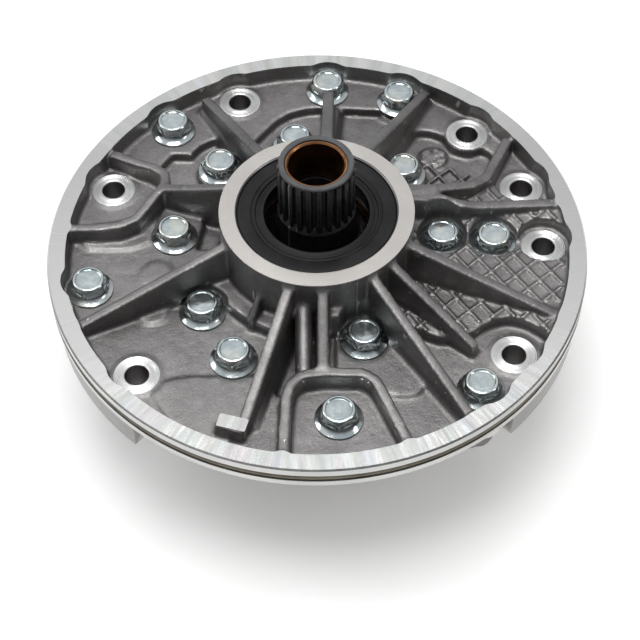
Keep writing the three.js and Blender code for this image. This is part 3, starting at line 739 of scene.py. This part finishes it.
def pebbled_disc():
    """A round mark whose face is left rough."""
    centre = (47.3, 52.1)
    pieces = [cylinder("mark", 5.6, LOW_FLOOR - 1, LOW_FLOOR + 0.9, centre)]
    dice = random.Random(4)
    for _ in range(70):
        place = polar(4.9 * math.sqrt(dice.random()), 360 * dice.random(), centre)
        size = 0.6 + 0.35 * dice.random()
        top = LOW_FLOOR + 1.5 + 0.3 * dice.random()
        pieces.append(revolve("pebble", [
            (0, LOW_FLOOR), (size, LOW_FLOOR), (size, top - 0.2), (size * 0.5, top), (0, top),
        ], 8, place))
    return pieces


def cast_front():
    """The cast face of the body: ribs, floors and lattice, rounded as a mould leaves them."""
    blank = copy_of("pump_body")
    boolean(blank, cylinder("front_half", RIM_R + 5, -12, HUB_TOP + 5, segments=64), "INTERSECT")
    hub_stock = revolve("hub_stock", [
        (BUSH_R - 3, -12), (HUB_R, -12), (HUB_R, HUB_TOP + 1.2), (BUSH_R - 3, HUB_TOP + 1.2),
    ], 192)
    plugs = [cylinder("plug", HOLE_R + 0.6, -12, FLOOR, c, 24) for c in [*BOLT_CENTRES, *MOUNT_CENTRES]]
    body = joined("cast_front", [blank, rim_stock(), hub_stock, hub_foot(), *rib_feet(), *plugs])
    remesh(body, 0.7)
    soften(body, 6)
    body = joined("cast_front", [body, *lattice_walls(), *pebbled_disc()])
    remesh(body, 0.5)
    soften(body, 1)
    return thin_out(body, 150000)


def window_cutter(inner_radius, bottom, top):
    """The window stops at the columns, so that a bolt beside it has metal all along its shank."""
    outline = arc(inner_radius, *WINDOW, 24) + arc(RIM_R + 6, WINDOW[1], WINDOW[0], 24)
    window = prism("window", outline, bottom, top)
    return cut(window, *[cylinder("kept", COLUMN_R, bottom - 1, top + 1, c) for c in OUTER_BOLTS])


def machined_back():
    """The plain turned parts behind the floor: core, plate, skirt and columns."""
    core = revolve("core", [
        (BUSH_R - 3, BACK_Z), (CORE_R, BACK_Z), (CORE_R, PLATE_BOTTOM), (SKIRT_R - 1, PLATE_BOTTOM),
        (SKIRT_R - 1, -11.2), (BUSH_R - 3, -11.2),
    ])
    skirt = revolve("skirt", [
        (SKIRT_IN_R, SKIRT_BOTTOM), (SKIRT_R, SKIRT_BOTTOM), (SKIRT_R, RIM_BOTTOM + 0.5),
        (SKIRT_IN_R, RIM_BOTTOM + 0.5),
    ])
    fuse(core, skirt)
    for centre in [*MOUNT_CENTRES, *OUTER_BOLTS]:
        column = cylinder("column", COLUMN_R, BACK_Z, -11.5, centre)
        boolean(column, cylinder("limit", SKIRT_IN_R + 1, BACK_Z - 1, 0, segments=ROUND), "INTERSECT")
        fuse(core, column)
    return core


def crescent():
    """Fills the space between the two gears, opposite to where they mesh."""
    away = math.degrees(math.atan2(DRIVEN_CENTRE.y, DRIVEN_CENTRE.x))
    inside = size_of("drive_gear")[1].x + 0.45
    outside = 34.7
    piece = cylinder("crescent", outside, BACK_Z, POCKET_TOP + 1, DRIVEN_CENTRE, 96)
    cut(piece, cylinder("gear_side", inside, BACK_Z - 1, POCKET_TOP + 2, segments=96))
    horn = [polar(20, away - 180), polar(60, away - 68), polar(90, away), polar(60, away + 68)]
    return boolean(piece, prism("horn", horn, BACK_Z, POCKET_TOP + 1), "INTERSECT")


def body_cutters():
    outside = revolve("outside_cut", [
        (SKIRT_R, BACK_Z - 2), (RIM_R + 5, BACK_Z - 2), (RIM_R + 5, 4), (RIM_IN_R - 2, 4), (RIM_IN_R - 2, 0),
        (RIM_R - 0.6, 0), (RIM_R, -0.6), (RIM_R, GROOVE[1]), (GROOVE_R, GROOVE[1]), (GROOVE_R, GROOVE[0]),
        (RIM_R, GROOVE[0]), (RIM_R, RIM_BOTTOM), (SKIRT_R, RIM_BOTTOM),
    ], 360)
    hub = revolve("hub_cut", [
        (0, HUB_TOP + 12), (HUB_R + 5, HUB_TOP + 12), (HUB_R + 5, HUB_TOP), (SEAL_R + 0.5, HUB_TOP),
        (SEAL_R, HUB_TOP - 0.5), (SEAL_R, SEAL_SEAT), (BUSH_R, SEAL_SEAT), (BUSH_R, BACK_Z - 2), (0, BACK_Z - 2),
    ])
    holes = []
    for centre in MOUNT_CENTRES:
        holes.append(revolve("hole", [
            (0, BACK_Z - 2), (HOLE_R, BACK_Z - 2), (HOLE_R, SPOT_Z - 0.2), (HOLE_R + 0.2, SPOT_Z),
            (SPOT_R, SPOT_Z), (SPOT_R + 0.4, SPOT_Z + 0.6), (SPOT_R + 0.5, 1), (0, 1),
        ], 64, centre))
    for centre in BOLT_CENTRES:
        holes.append(revolve("hole", [
            (0, BACK_Z - 2), (HOLE_R, BACK_Z - 2), (HOLE_R, FLOOR), (9.2, FLOOR), (9.2, FLOOR + 2.7),
            (7.6, FLOOR + 3.4), (7.6, 0.4), (0, 0.4),
        ], 48, centre))
    return outside, hub, holes


FINISHES = [CAST, RIM_FACE, HUB_FACE, SPOT_FACE, SIDE_FACE, BORE_FACE, SKIRT_FACE]


def body_finishes(piece):
    """Chooses cast or machined metal for each face from where it lies."""
    mesh = piece.data
    count = len(mesh.polygons)
    centre, normal = np.zeros(3 * count), np.zeros(3 * count)
    mesh.polygons.foreach_get("center", centre)
    mesh.polygons.foreach_get("normal", normal)
    centre, normal = centre.reshape(-1, 3) / MM - np.array(DATUM), normal.reshape(-1, 3)
    radius = np.hypot(centre[:, 0], centre[:, 1])
    up, upright = normal[:, 2] > 0.99, np.abs(normal[:, 2]) < 0.2

    def near(centres, reach):
        gaps = [np.hypot(centre[:, 0] - x, centre[:, 1] - y) for x, y in centres]
        return np.min(gaps, axis=0) < reach

    def level(z):
        return np.abs(centre[:, 2] - z) < 0.004

    index = np.zeros(count, int)
    index[(normal[:, 2] > 0.6) & (centre[:, 2] > -0.61) & (centre[:, 2] < 0.004) & (radius > RIM_R - 1)] = 1
    index[level(0)] = 1
    index[up & level(SPOT_Z) & near(MOUNT_CENTRES, SPOT_R)] = 3
    index[(normal[:, 2] < -0.99) & level(BACK_Z)] = 3
    index[upright & (radius > GROOVE_R - 0.2) & (centre[:, 2] > RIM_BOTTOM - 0.1)] = 4
    index[(np.abs(normal[:, 2]) > 0.9) & (radius > GROOVE_R) & (centre[:, 2] < -1)] = 4
    below = centre[:, 2] < RIM_BOTTOM
    index[upright & below & (radius > SKIRT_R - 0.4)] = 6
    index[upright & below & (np.abs(radius - WINDOW_R) < 0.3)] = 6
    index[near([*MOUNT_CENTRES, *BOLT_CENTRES], HOLE_R + 0.7) & ~up] = 5
    index[radius < SEAL_R + 0.6] = 5
    index[up & level(HUB_TOP)] = 2
    mesh.materials.clear()
    for material in FINISHES:
        mesh.materials.append(material)
    mesh.polygons.foreach_set("material_index", index)


def lifting_pad():
    """The machined block at the outer end of a rib, level with the rim."""
    x, y = polar(87.5, 249.7)
    pad = prism("pad", rounded([(-5.3, -2.7), (5.3, -2.7), (5.3, 2.7), (-5.3, 2.7)], 0.7), FLOOR - 3, 0.001)
    pad.data.transform(Matrix.Rotation(math.radians(-16), 4, "Z"))
    pad.data.transform(Matrix.Translation((x * MM, y * MM, 0)))
    return pad


def pump_body():
    body = fuse(cast_front(), machined_back())
    outside, hub, holes = body_cutters()
    cut(body, outside, window_cutter(WINDOW_R, BACK_Z - 2, RIM_BOTTOM))
    cut(body, cylinder("pocket", RING_R + 0.35, BACK_Z - 2, POCKET_TOP, DRIVEN_CENTRE, 192))
    fuse(body, crescent())
    for centre in MOUNT_CENTRES:
        fuse(body, revolve("spot", [
            (0, FLOOR - 2), (SPOT_R, FLOOR - 2), (SPOT_R, SPOT_Z - 0.2), (SPOT_R - 0.2, SPOT_Z + 0.001),
            (0, SPOT_Z + 0.001),
        ], 96, centre))
    cut(body, hub, *holes)
    fuse(body, lifting_pad())
    for name in ("dowel_pin_1", "dowel_pin_2"):
        centre = middle_of(name).to_2d()
        cut(body, cylinder("dowel_hole", 3.2, BACK_Z - 2, size_of(name)[1].z + 0.3, centre))
    break_up(body, 1.7, LOW_FLOOR - 0.5)
    body.name = body.data.name = "body_casting"
    body_finishes(body)
    return true_turned_faces(shade(body), 1, 2, 3, 4, 6)


def settle(piece, *nodes, slot, body="housing"):
    """Puts a finished piece on its body in place of CAD nodes."""
    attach(piece, body)
    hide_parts(*nodes)
    return piece


def paint(piece, *materials):
    piece.data.materials.clear()
    for material in materials:
        piece.data.materials.append(material)
    return piece


settle(pump_body(), "pump_body", slot="cast_body")


# ---- Rear cover -----------------------------------------------------------------------------
def pump_cover():
    front, end = COVER_HIGH.z, COVER_LOW.z
    hub_r, bore, boss_back, plate_back = 34.0, 15.95, -38.0, -32.3
    cast = copy_of("pump_cover")
    stock = [cylinder("stock", 6.6, plate_back - 2.5, front - 1, c, 24) for c in BOLT_CENTRES]
    boolean(cast, cylinder("plate", RIM_R, boss_back - 3, front + 2, segments=64), "INTERSECT")
    ribs = []
    for angle in (8, 66, 117, 174, 232, 312):
        ribs.append(wall("rib", [(*polar(40, angle), -36.5), (*polar(88, angle), -28)], 4, 7, -36.8))
    edge = revolve("edge", [(80, front), (92.8, front), (92.8, plate_back), (80, plate_back)], 192)
    boolean(edge, window_cutter(WINDOW_R - 8, boss_back, front + 1), "DIFFERENCE")
    cast = joined("cover_cast", [cast, *stock, *ribs, edge])
    remesh(cast, 1.0)
    soften(cast, 4)
    thin_out(cast, 60000)
    hub = revolve("rear_hub", [
        (bore - 2, boss_back + 4), (hub_r, boss_back + 4),
        *[(r, z) for top in (-45, -51, -57) for r, z in (
            (hub_r, top), (31, top), (31, top - 3), (hub_r, top - 3))],
        (hub_r, end + 0.8), (hub_r - 0.8, end), (bore - 2, end),
    ])
    fuse(cast, hub)
    for centre in BOLT_CENTRES:
        cut(cast, cylinder("hole", 4.0, end, front + 2, centre, 32))
    for centre in MOUNT_CENTRES:
        cut(cast, cylinder("hole", 4.8, end, front + 2, centre, 32))
    cut(cast, cylinder("bore", bore - 0.3, end - 2, front + 2, segments=128))
    cut(cast, cylinder("joint_face", RIM_R, front, front + 4, segments=128))
    cut(cast, window_cutter(WINDOW_R, end, front + 2))
    cast.name = cast.data.name = "cover_casting"
    paint(cast, CAST, SIDE_FACE, SPOT_FACE)
    for face in cast.data.polygons:
        x, y, z = face.center / MM - DATUM
        turned = math.hypot(x, y) < hub_r + 0.1 and z < boss_back - 0.5
        flat = face.normal.z > 0.99 and abs(z - front) < 0.004
        face.material_index = 2 if flat else int(turned)
    return true_turned_faces(shade(cast), 1, 2)


settle(pump_cover(), "pump_cover", slot="cast_cover")


# ---- Shaft and bushes -----------------------------------------------------------------------
SPLINES = 23
SPLINE_TIP = 14.2
SPLINE_ROOT = 12.9
SHAFT_R = 14.6
BUSH_POCKET = 11.42
BUSH_IN = 10.2


def spline_radius(share, root=SPLINE_ROOT):
    """Radius round the splines; share is how much of their height is left at this level."""
    def radius(angle):
        phase = angle * SPLINES / (2 * math.pi) % 1.0
        flank = (0.5 - abs(phase - 0.5)) * 2
        rise = min(1.0, max(0.0, (flank - 0.30) / 0.32))
        rise = rise * rise * (3 - 2 * rise)
        return root + (SPLINE_TIP - root) * rise * share
    return radius


def stator_shaft():
    top, bottom = SHAFT_HIGH.z, SHAFT_LOW.z
    run_out = 21.0
    outer = [
        (13.35, top), (13.7, top - 0.35), (spline_radius(0.02, 13.72), top - 1.0),
        (spline_radius(0.0), top - 1.2), (spline_radius(0.7), top - 1.5), (spline_radius(1.0), top - 2.1),
        (spline_radius(1.0), run_out + 3.2), (spline_radius(0.94), run_out + 2.0),
        (spline_radius(0.8, 13.4), run_out + 1.0), (spline_radius(0.5, 14.0), run_out + 0.3),
        (SHAFT_R - 0.3, run_out - 0.2), (SHAFT_R, run_out - 0.6), (SHAFT_R, 12.2), (SHAFT_R + 0.25, 11.6),
        (SHAFT_R + 0.25, -22), (15.6, -26.5), (15.6, -58.5), (SHAFT_R, -60), (SHAFT_R, bottom + 0.8),
        (SHAFT_R - 0.8, bottom),
    ]
    inner = [
        (BUSH_POCKET + 0.5, bottom), (BUSH_POCKET, bottom + 0.5), (BUSH_POCKET, -53.7), (9.4, -53.7),
        (9.4, 25.7), (BUSH_POCKET, 25.7), (BUSH_POCKET, top - 0.3), (BUSH_POCKET + 0.35, top),
    ]
    shaft = revolve("support_shaft", outer + inner, SPLINES * 20)
    paint(shaft, BLACK_STEEL, WORN_STEEL)
    for face in shaft.data.polygons:
        face.material_index = int(face.center.z / MM - DATUM.z > top - 0.4)
    return shade(shaft, 28)


def bush(name, outer, inner, bottom, top, metal):
    """A plain bearing: bronze bore in a steel back."""
    chamfer = 0.5
    piece = revolve(name, [
        (inner + chamfer, bottom), (outer - 0.15, bottom), (outer, bottom + 0.15), (outer, top - 0.15),
        (outer - 0.15, top), (inner + chamfer, top), (inner, top - chamfer), (inner, bottom + chamfer),
    ], 160)
    paint(piece, metal, BUSH_BACK)
    for face in piece.data.polygons:
        middle = math.hypot(face.center.x, face.center.y) / MM
        face.material_index = int(middle > outer - 0.2)
    return shade(piece)


settle(stator_shaft(), "stator_shaft", slot="black_steel")
for node, outer, inner, metal in (
    ("front_shaft_bush", BUSH_POCKET, BUSH_IN, BRONZE),
    ("rear_shaft_bush", BUSH_POCKET, BUSH_IN, BRONZE),
    # the converter hub bush gets the darker bronze as painted shade
    ("converter_hub_bush", BUSH_R, 19.2, SHADED_BRONZE),
):
    low, high = size_of(node)
    settle(bush("bearing_" + node, outer, inner, low.z, high.z, metal), node, slot="bronze")


# ---- Oil seal -------------------------------------------------------------------------------
def seal_case():
    face = HUB_TOP - 0.7
    outline = [
        (28.2, SEAL_SEAT), (29.6, SEAL_SEAT), (29.98, SEAL_SEAT + 1.2), (29.98, face - 0.5), (29.4, face),
        (24.7, face), (24.4, face - 0.4), (23.9, face - 0.4), (23.6, face - 0.1), (22.9, face - 0.3),
        (22.7, face - 1.2),
        (27.6, face - 1.9), (28.2, face - 2.4),
    ]
    return shade(paint(revolve("seal_case_ring", rounded(outline, 0.25, 2), 192), RUBBER), 40)


def seal_lip():
    face = HUB_TOP - 0.7
    outline = [
        (19.7, 12.6), (21.3, 11.4), (21.9, 11.8), (21.5, 14.4), (22.6, 15.6), (23.2, 16.4), (22.9, face - 0.9),
        (22.0, face - 1.0), (21.4, face - 0.6), (20.3, face - 0.2), (19.75, face - 0.3), (20.1, face - 0.9),
        (21.0, face - 1.7), (20.6, 14.6),
    ]
    return shade(paint(revolve("seal_lip_ring", rounded(outline, 0.2, 2), 192), RUBBER), 40)


def garter_spring():
    """A fine closed coil that runs in a ring behind the lip."""
    ring, coil, wire = 22.55, 0.52, 0.17
    turns, steps, sides = 130, 10, 5
    low, high = size_of("seal_garter_spring")
    level = (low.z + high.z) / 2
    points, faces = [], []
    count = turns * steps

    def centre_line(i):
        round_ring, round_coil = 2 * math.pi * i / count, 2 * math.pi * i / steps
        r = ring + coil * math.cos(round_coil)
        return np.array([r * math.cos(round_ring), r * math.sin(round_ring), level + coil * math.sin(round_coil)])

    for i in range(count):
        here = centre_line(i)
        along = centre_line(i + 1) - centre_line(i - 1)
        along /= np.linalg.norm(along)
        hub = np.array([here[0], here[1], 0.0])
        hub = hub / np.linalg.norm(hub) * ring + np.array([0, 0, level])
        out = here - hub
        out -= along * np.dot(out, along)
        out /= np.linalg.norm(out)
        side = np.cross(along, out)
        for k in range(sides):
            turn = 2 * math.pi * k / sides
            points.append(tuple(here + wire * (math.cos(turn) * out + math.sin(turn) * side)))
    for i in range(count):
        here, there = i * sides, (i + 1) % count * sides
        for k in range(sides):
            n = (k + 1) % sides
            faces.append((here + k, here + n, there + n, there + k))
    return shade(paint(make_piece("garter_coil", points, faces), SPRING_STEEL), 80)


settle(seal_case(), "oil_seal_case", slot="seal_rubber")
settle(seal_lip(), "oil_seal_lip", slot="seal_rubber")
settle(garter_spring(), "seal_garter_spring", slot="spring_steel")


# ---- Rings, washer and pins -----------------------------------------------------------------
def oval_ring(name, middle, half_width, half_height, level, segments=ROUND):
    steps = 16
    outline = [
        (middle + half_width * math.cos(2 * math.pi * i / steps), level + half_height * math.sin(2 * math.pi * i / steps))
        for i in range(steps)
    ]
    return shade(revolve(name, outline, segments), 60)


def sealing_ring(node):
    """A split ring in its groove, with a straight gap."""
    low, high = size_of(node)
    outer, inner = 34.6, 31.3
    ring = revolve("ring_" + node, rounded([(inner, low.z), (outer, low.z), (outer, high.z), (inner, high.z)], 0.2, 2), 160)
    number = int(node[-1]) - 1
    slot = prism("gap", [(30, -0.4), (36, -0.4), (36, 0.4), (30, 0.4)], low.z - 1, high.z + 1)
    slot.data.transform(Matrix.Rotation(math.radians(120 * number), 4, "Z"))
    return shade(paint(cut(ring, slot), RING_POLYMER))


def thrust_washer():
    low, high = size_of("thrust_washer")
    outline = rounded([(34.35, low.z), (44, low.z), (44, high.z), (34.35, high.z)], 0.25, 2)
    washer = revolve("washer_ring", outline, 192)
    for turn in range(8):
        outline = [(33, -0.8), (46, -0.8), (46, 0.8), (33, 0.8)]
        groove = prism("oil_groove", outline, low.z - 1, low.z + 0.4)
        groove.data.transform(Matrix.Rotation(math.radians(45 * turn), 4, "Z"))
        cut(washer, groove)
    return shade(paint(washer, BRONZE))


def dowel(node):
    low, high = size_of(node)
    x, y = middle_of(node).to_2d()
    outline = [(0, low.z), (2.5, low.z), (3, low.z + 0.8), (3, high.z - 0.8), (2.5, high.z), (0, high.z)]
    return shade(paint(revolve("pin_" + node, outline, 40, (x, y)), GEAR_STEEL))


o_ring = oval_ring("o_ring_cord", RIM_R - 1.25, 1.15, 1.5, sum(GROOVE) / 2)
settle(paint(o_ring, O_RING), "rim_o_ring", slot="o_ring_rubber")
for ring_number in (1, 2, 3):
    settle(sealing_ring(f"sealing_ring_{ring_number}"), f"sealing_ring_{ring_number}", slot="ring_polymer")
settle(thrust_washer(), "thrust_washer", slot="bronze")
for pin in ("dowel_pin_1", "dowel_pin_2"):
    settle(dowel(pin), pin, slot="gear_steel")


# ---- Bolts ----------------------------------------------------------------------------------
HEX_FLAT = 12.0
HEAD_TOP = size_of("bolt_01")[1].z
SEAT = FLOOR + 0.05
THREAD_PITCH = 1.25


def thread_radius(z):
    """Radius of the thread's surface at a height, for every angle."""
    def radius(angle):
        turn = (z / THREAD_PITCH - angle / (2 * math.pi)) % 1.0
        return 3.28 + 0.62 * min(1.0, 2.4 * abs(turn - 0.5))
    return radius


def hexagon():
    """Across-flats outline with small rounded corners."""
    corners = [polar(HEX_FLAT / math.sqrt(3), 60 * i) for i in range(6)]
    return rounded(corners, 0.55, 3)


def bolt_mesh():
    """A flange bolt: chamfered hexagon with a round recess, dished flange, threaded shank."""
    head = prism("head", hexagon(), SEAT + 1, HEAD_TOP)
    boolean(head, revolve("chamfer", [
        (0, SEAT), (8, SEAT), (8, HEAD_TOP - 3.2), (5.95, HEAD_TOP - 0.35), (5.7, HEAD_TOP - 0.08),
        (5.45, HEAD_TOP), (0, HEAD_TOP),
    ], 96), "INTERSECT")
    cut(head, revolve("recess", [
        (0, HEAD_TOP + 1), (5.1, HEAD_TOP + 1), (4.95, HEAD_TOP), (4.82, HEAD_TOP - 0.5),
        (4.6, HEAD_TOP - 0.62), (3.2, HEAD_TOP - 0.55), (0, HEAD_TOP - 0.35),
    ], 96))
    flange = revolve("flange", [
        (0, SEAT), (8.45, SEAT), (8.75, SEAT + 0.15), (8.85, SEAT + 0.45), (8.75, SEAT + 0.75),
        (8.4, SEAT + 0.95), (7.6, SEAT + 1.35), (7.0, SEAT + 1.8), (6.5, SEAT + 2.4), (6.2, SEAT + 3.1),
        (0, SEAT + 3.1),
    ], 96)
    fuse(head, flange)
    low = size_of("bolt_01")[0].z
    rows = 78
    levels = [low + 0.6 + (14.5 * i / rows) for i in range(rows + 1)]
    shank = revolve("shank", [
        (0, low), (2.9, low), *[(thread_radius(z), z) for z in levels], (3.55, levels[-1] + 0.8),
        (3.8, levels[-1] + 1.4), (3.8, SEAT + 0.6), (0, SEAT + 0.6),
    ], 24)
    fuse(head, shank)
    shade(paint(head, ZINC), 30)
    mesh = head.data
    mesh.name = "flange_bolt"
    drop(head)
    return mesh


HEX_TURNS = [0, 8, 2, 22, 20, 12, 27, 5, 17, 13, 3, 10, 30, 24, 27]
BOLT_MESH = bolt_mesh()
for name, centre, hex_turn in zip(BOLTS, BOLT_CENTRES, HEX_TURNS):
    bolt = bpy.data.objects.new("flange_" + name, BOLT_MESH)
    bpy.context.scene.collection.objects.link(bolt)
    bolt.location = (centre.x * MM, centre.y * MM, 0)
    bolt.rotation_euler.z = math.radians(hex_turn)
    settle(bolt, name, slot="zinc_steel")


# ---- Gears, which stay as the CAD nodes -----------------------------------------------------
for name in ("drive_gear", "driven_gear"):
    gear = frame["nodes"][name]
    paint(gear, GEAR_STEEL)
    weld = gear.modifiers.new("weld", "WELD")
    weld.merge_threshold = 1e-6
    edges = gear.modifiers.new("edges", "BEVEL")
    edges.width = 0.15 * MM
    edges.segments = 2
    edges.limit_method = "ANGLE"
    edges.angle_limit = math.radians(40)


# ---- Floor, light and camera ----------------------------------------------------------------
def stage():
    size, level = 40000.0, SHAFT_LOW.z - 0.2
    corners = [(-size, -size, level), (size, -size, level), (size, size, level), (-size, size, level)]
    floor = make_piece("studio_floor", corners, [(0, 1, 2, 3)])
    paint(floor, studio_floor())


def area_light(name, place, target, size, power, colour=(1, 1, 1)):
    data = bpy.data.lights.new(name, "AREA")
    data.shape = "RECTANGLE"
    data.size, data.size_y = size
    data.energy = power
    data.color = colour
    light = bpy.data.objects.new(name, data)
    light.location = Vector(place) + DATUM * MM
    direction = Vector(target) - Vector(place)
    light.rotation_euler = direction.to_track_quat("-Z", "Y").to_euler()
    bpy.context.scene.collection.objects.link(light)


def lighting():
    """A pale room, brightest high up behind the part and darker on the camera's side."""
    world = bpy.data.worlds.new("studio")
    world.use_nodes = True
    nodes, links = world.node_tree.nodes, world.node_tree.links
    toward = nodes.new("ShaderNodeVectorMath")
    toward.operation = "DOT_PRODUCT"
    toward.inputs[1].default_value = (-0.15, 0.35, 0.92)
    links.new(nodes.new("ShaderNodeTexCoord").outputs["Generated"], toward.inputs[0])
    spread = nodes.new("ShaderNodeMapRange")
    for socket, value in zip(spread.inputs[1:5], (0.0, 1.0, 0.08, 0.85)):
        socket.default_value = value
    links.new(toward.outputs["Value"], spread.inputs[0])
    links.new(spread.outputs[0], nodes["Background"].inputs["Strength"])
    nodes["Background"].inputs["Color"].default_value = (0.97, 0.98, 1.0, 1)
    bpy.context.scene.world = world
    area_light("top_softbox", (-0.1, 0.0, 1.5), (0, 0, 0), (1.0, 0.8), 16)
    area_light("left_softbox", (-1.1, 0.3, 0.9), (0, 0, 0), (0.4, 0.8), 3)
    area_light("right_softbox", (1.1, -0.2, 0.8), (0, 0, 0), (0.3, 0.7), 2, (1, 0.98, 0.95))


CAMERA_ELEVATION = 50.0
CAMERA_DISTANCE = 0.6227
CAMERA_TARGET = Vector((0.0008, -0.0374, 0.0))
CAMERA_ROLL = -0.5
CAMERA_LENS = 91.86


def camera():
    data = bpy.data.cameras.new("camera")
    data.sensor_width = 36
    data.lens = CAMERA_LENS
    view = bpy.data.objects.new("camera", data)
    lift = math.radians(CAMERA_ELEVATION)
    place = Vector((0, -CAMERA_DISTANCE * math.cos(lift), CAMERA_DISTANCE * math.sin(lift)))
    view.location = place + DATUM * MM
    aim = (CAMERA_TARGET - place).to_track_quat("-Z", "Y").to_matrix()
    roll = Matrix.Rotation(math.radians(CAMERA_ROLL), 3, "Z")
    view.rotation_euler = (aim @ roll).to_euler()
    bpy.context.scene.collection.objects.link(view)
    bpy.context.scene.camera = view


stage()
lighting()
camera()
bpy.context.scene.view_settings.view_transform = "Standard"
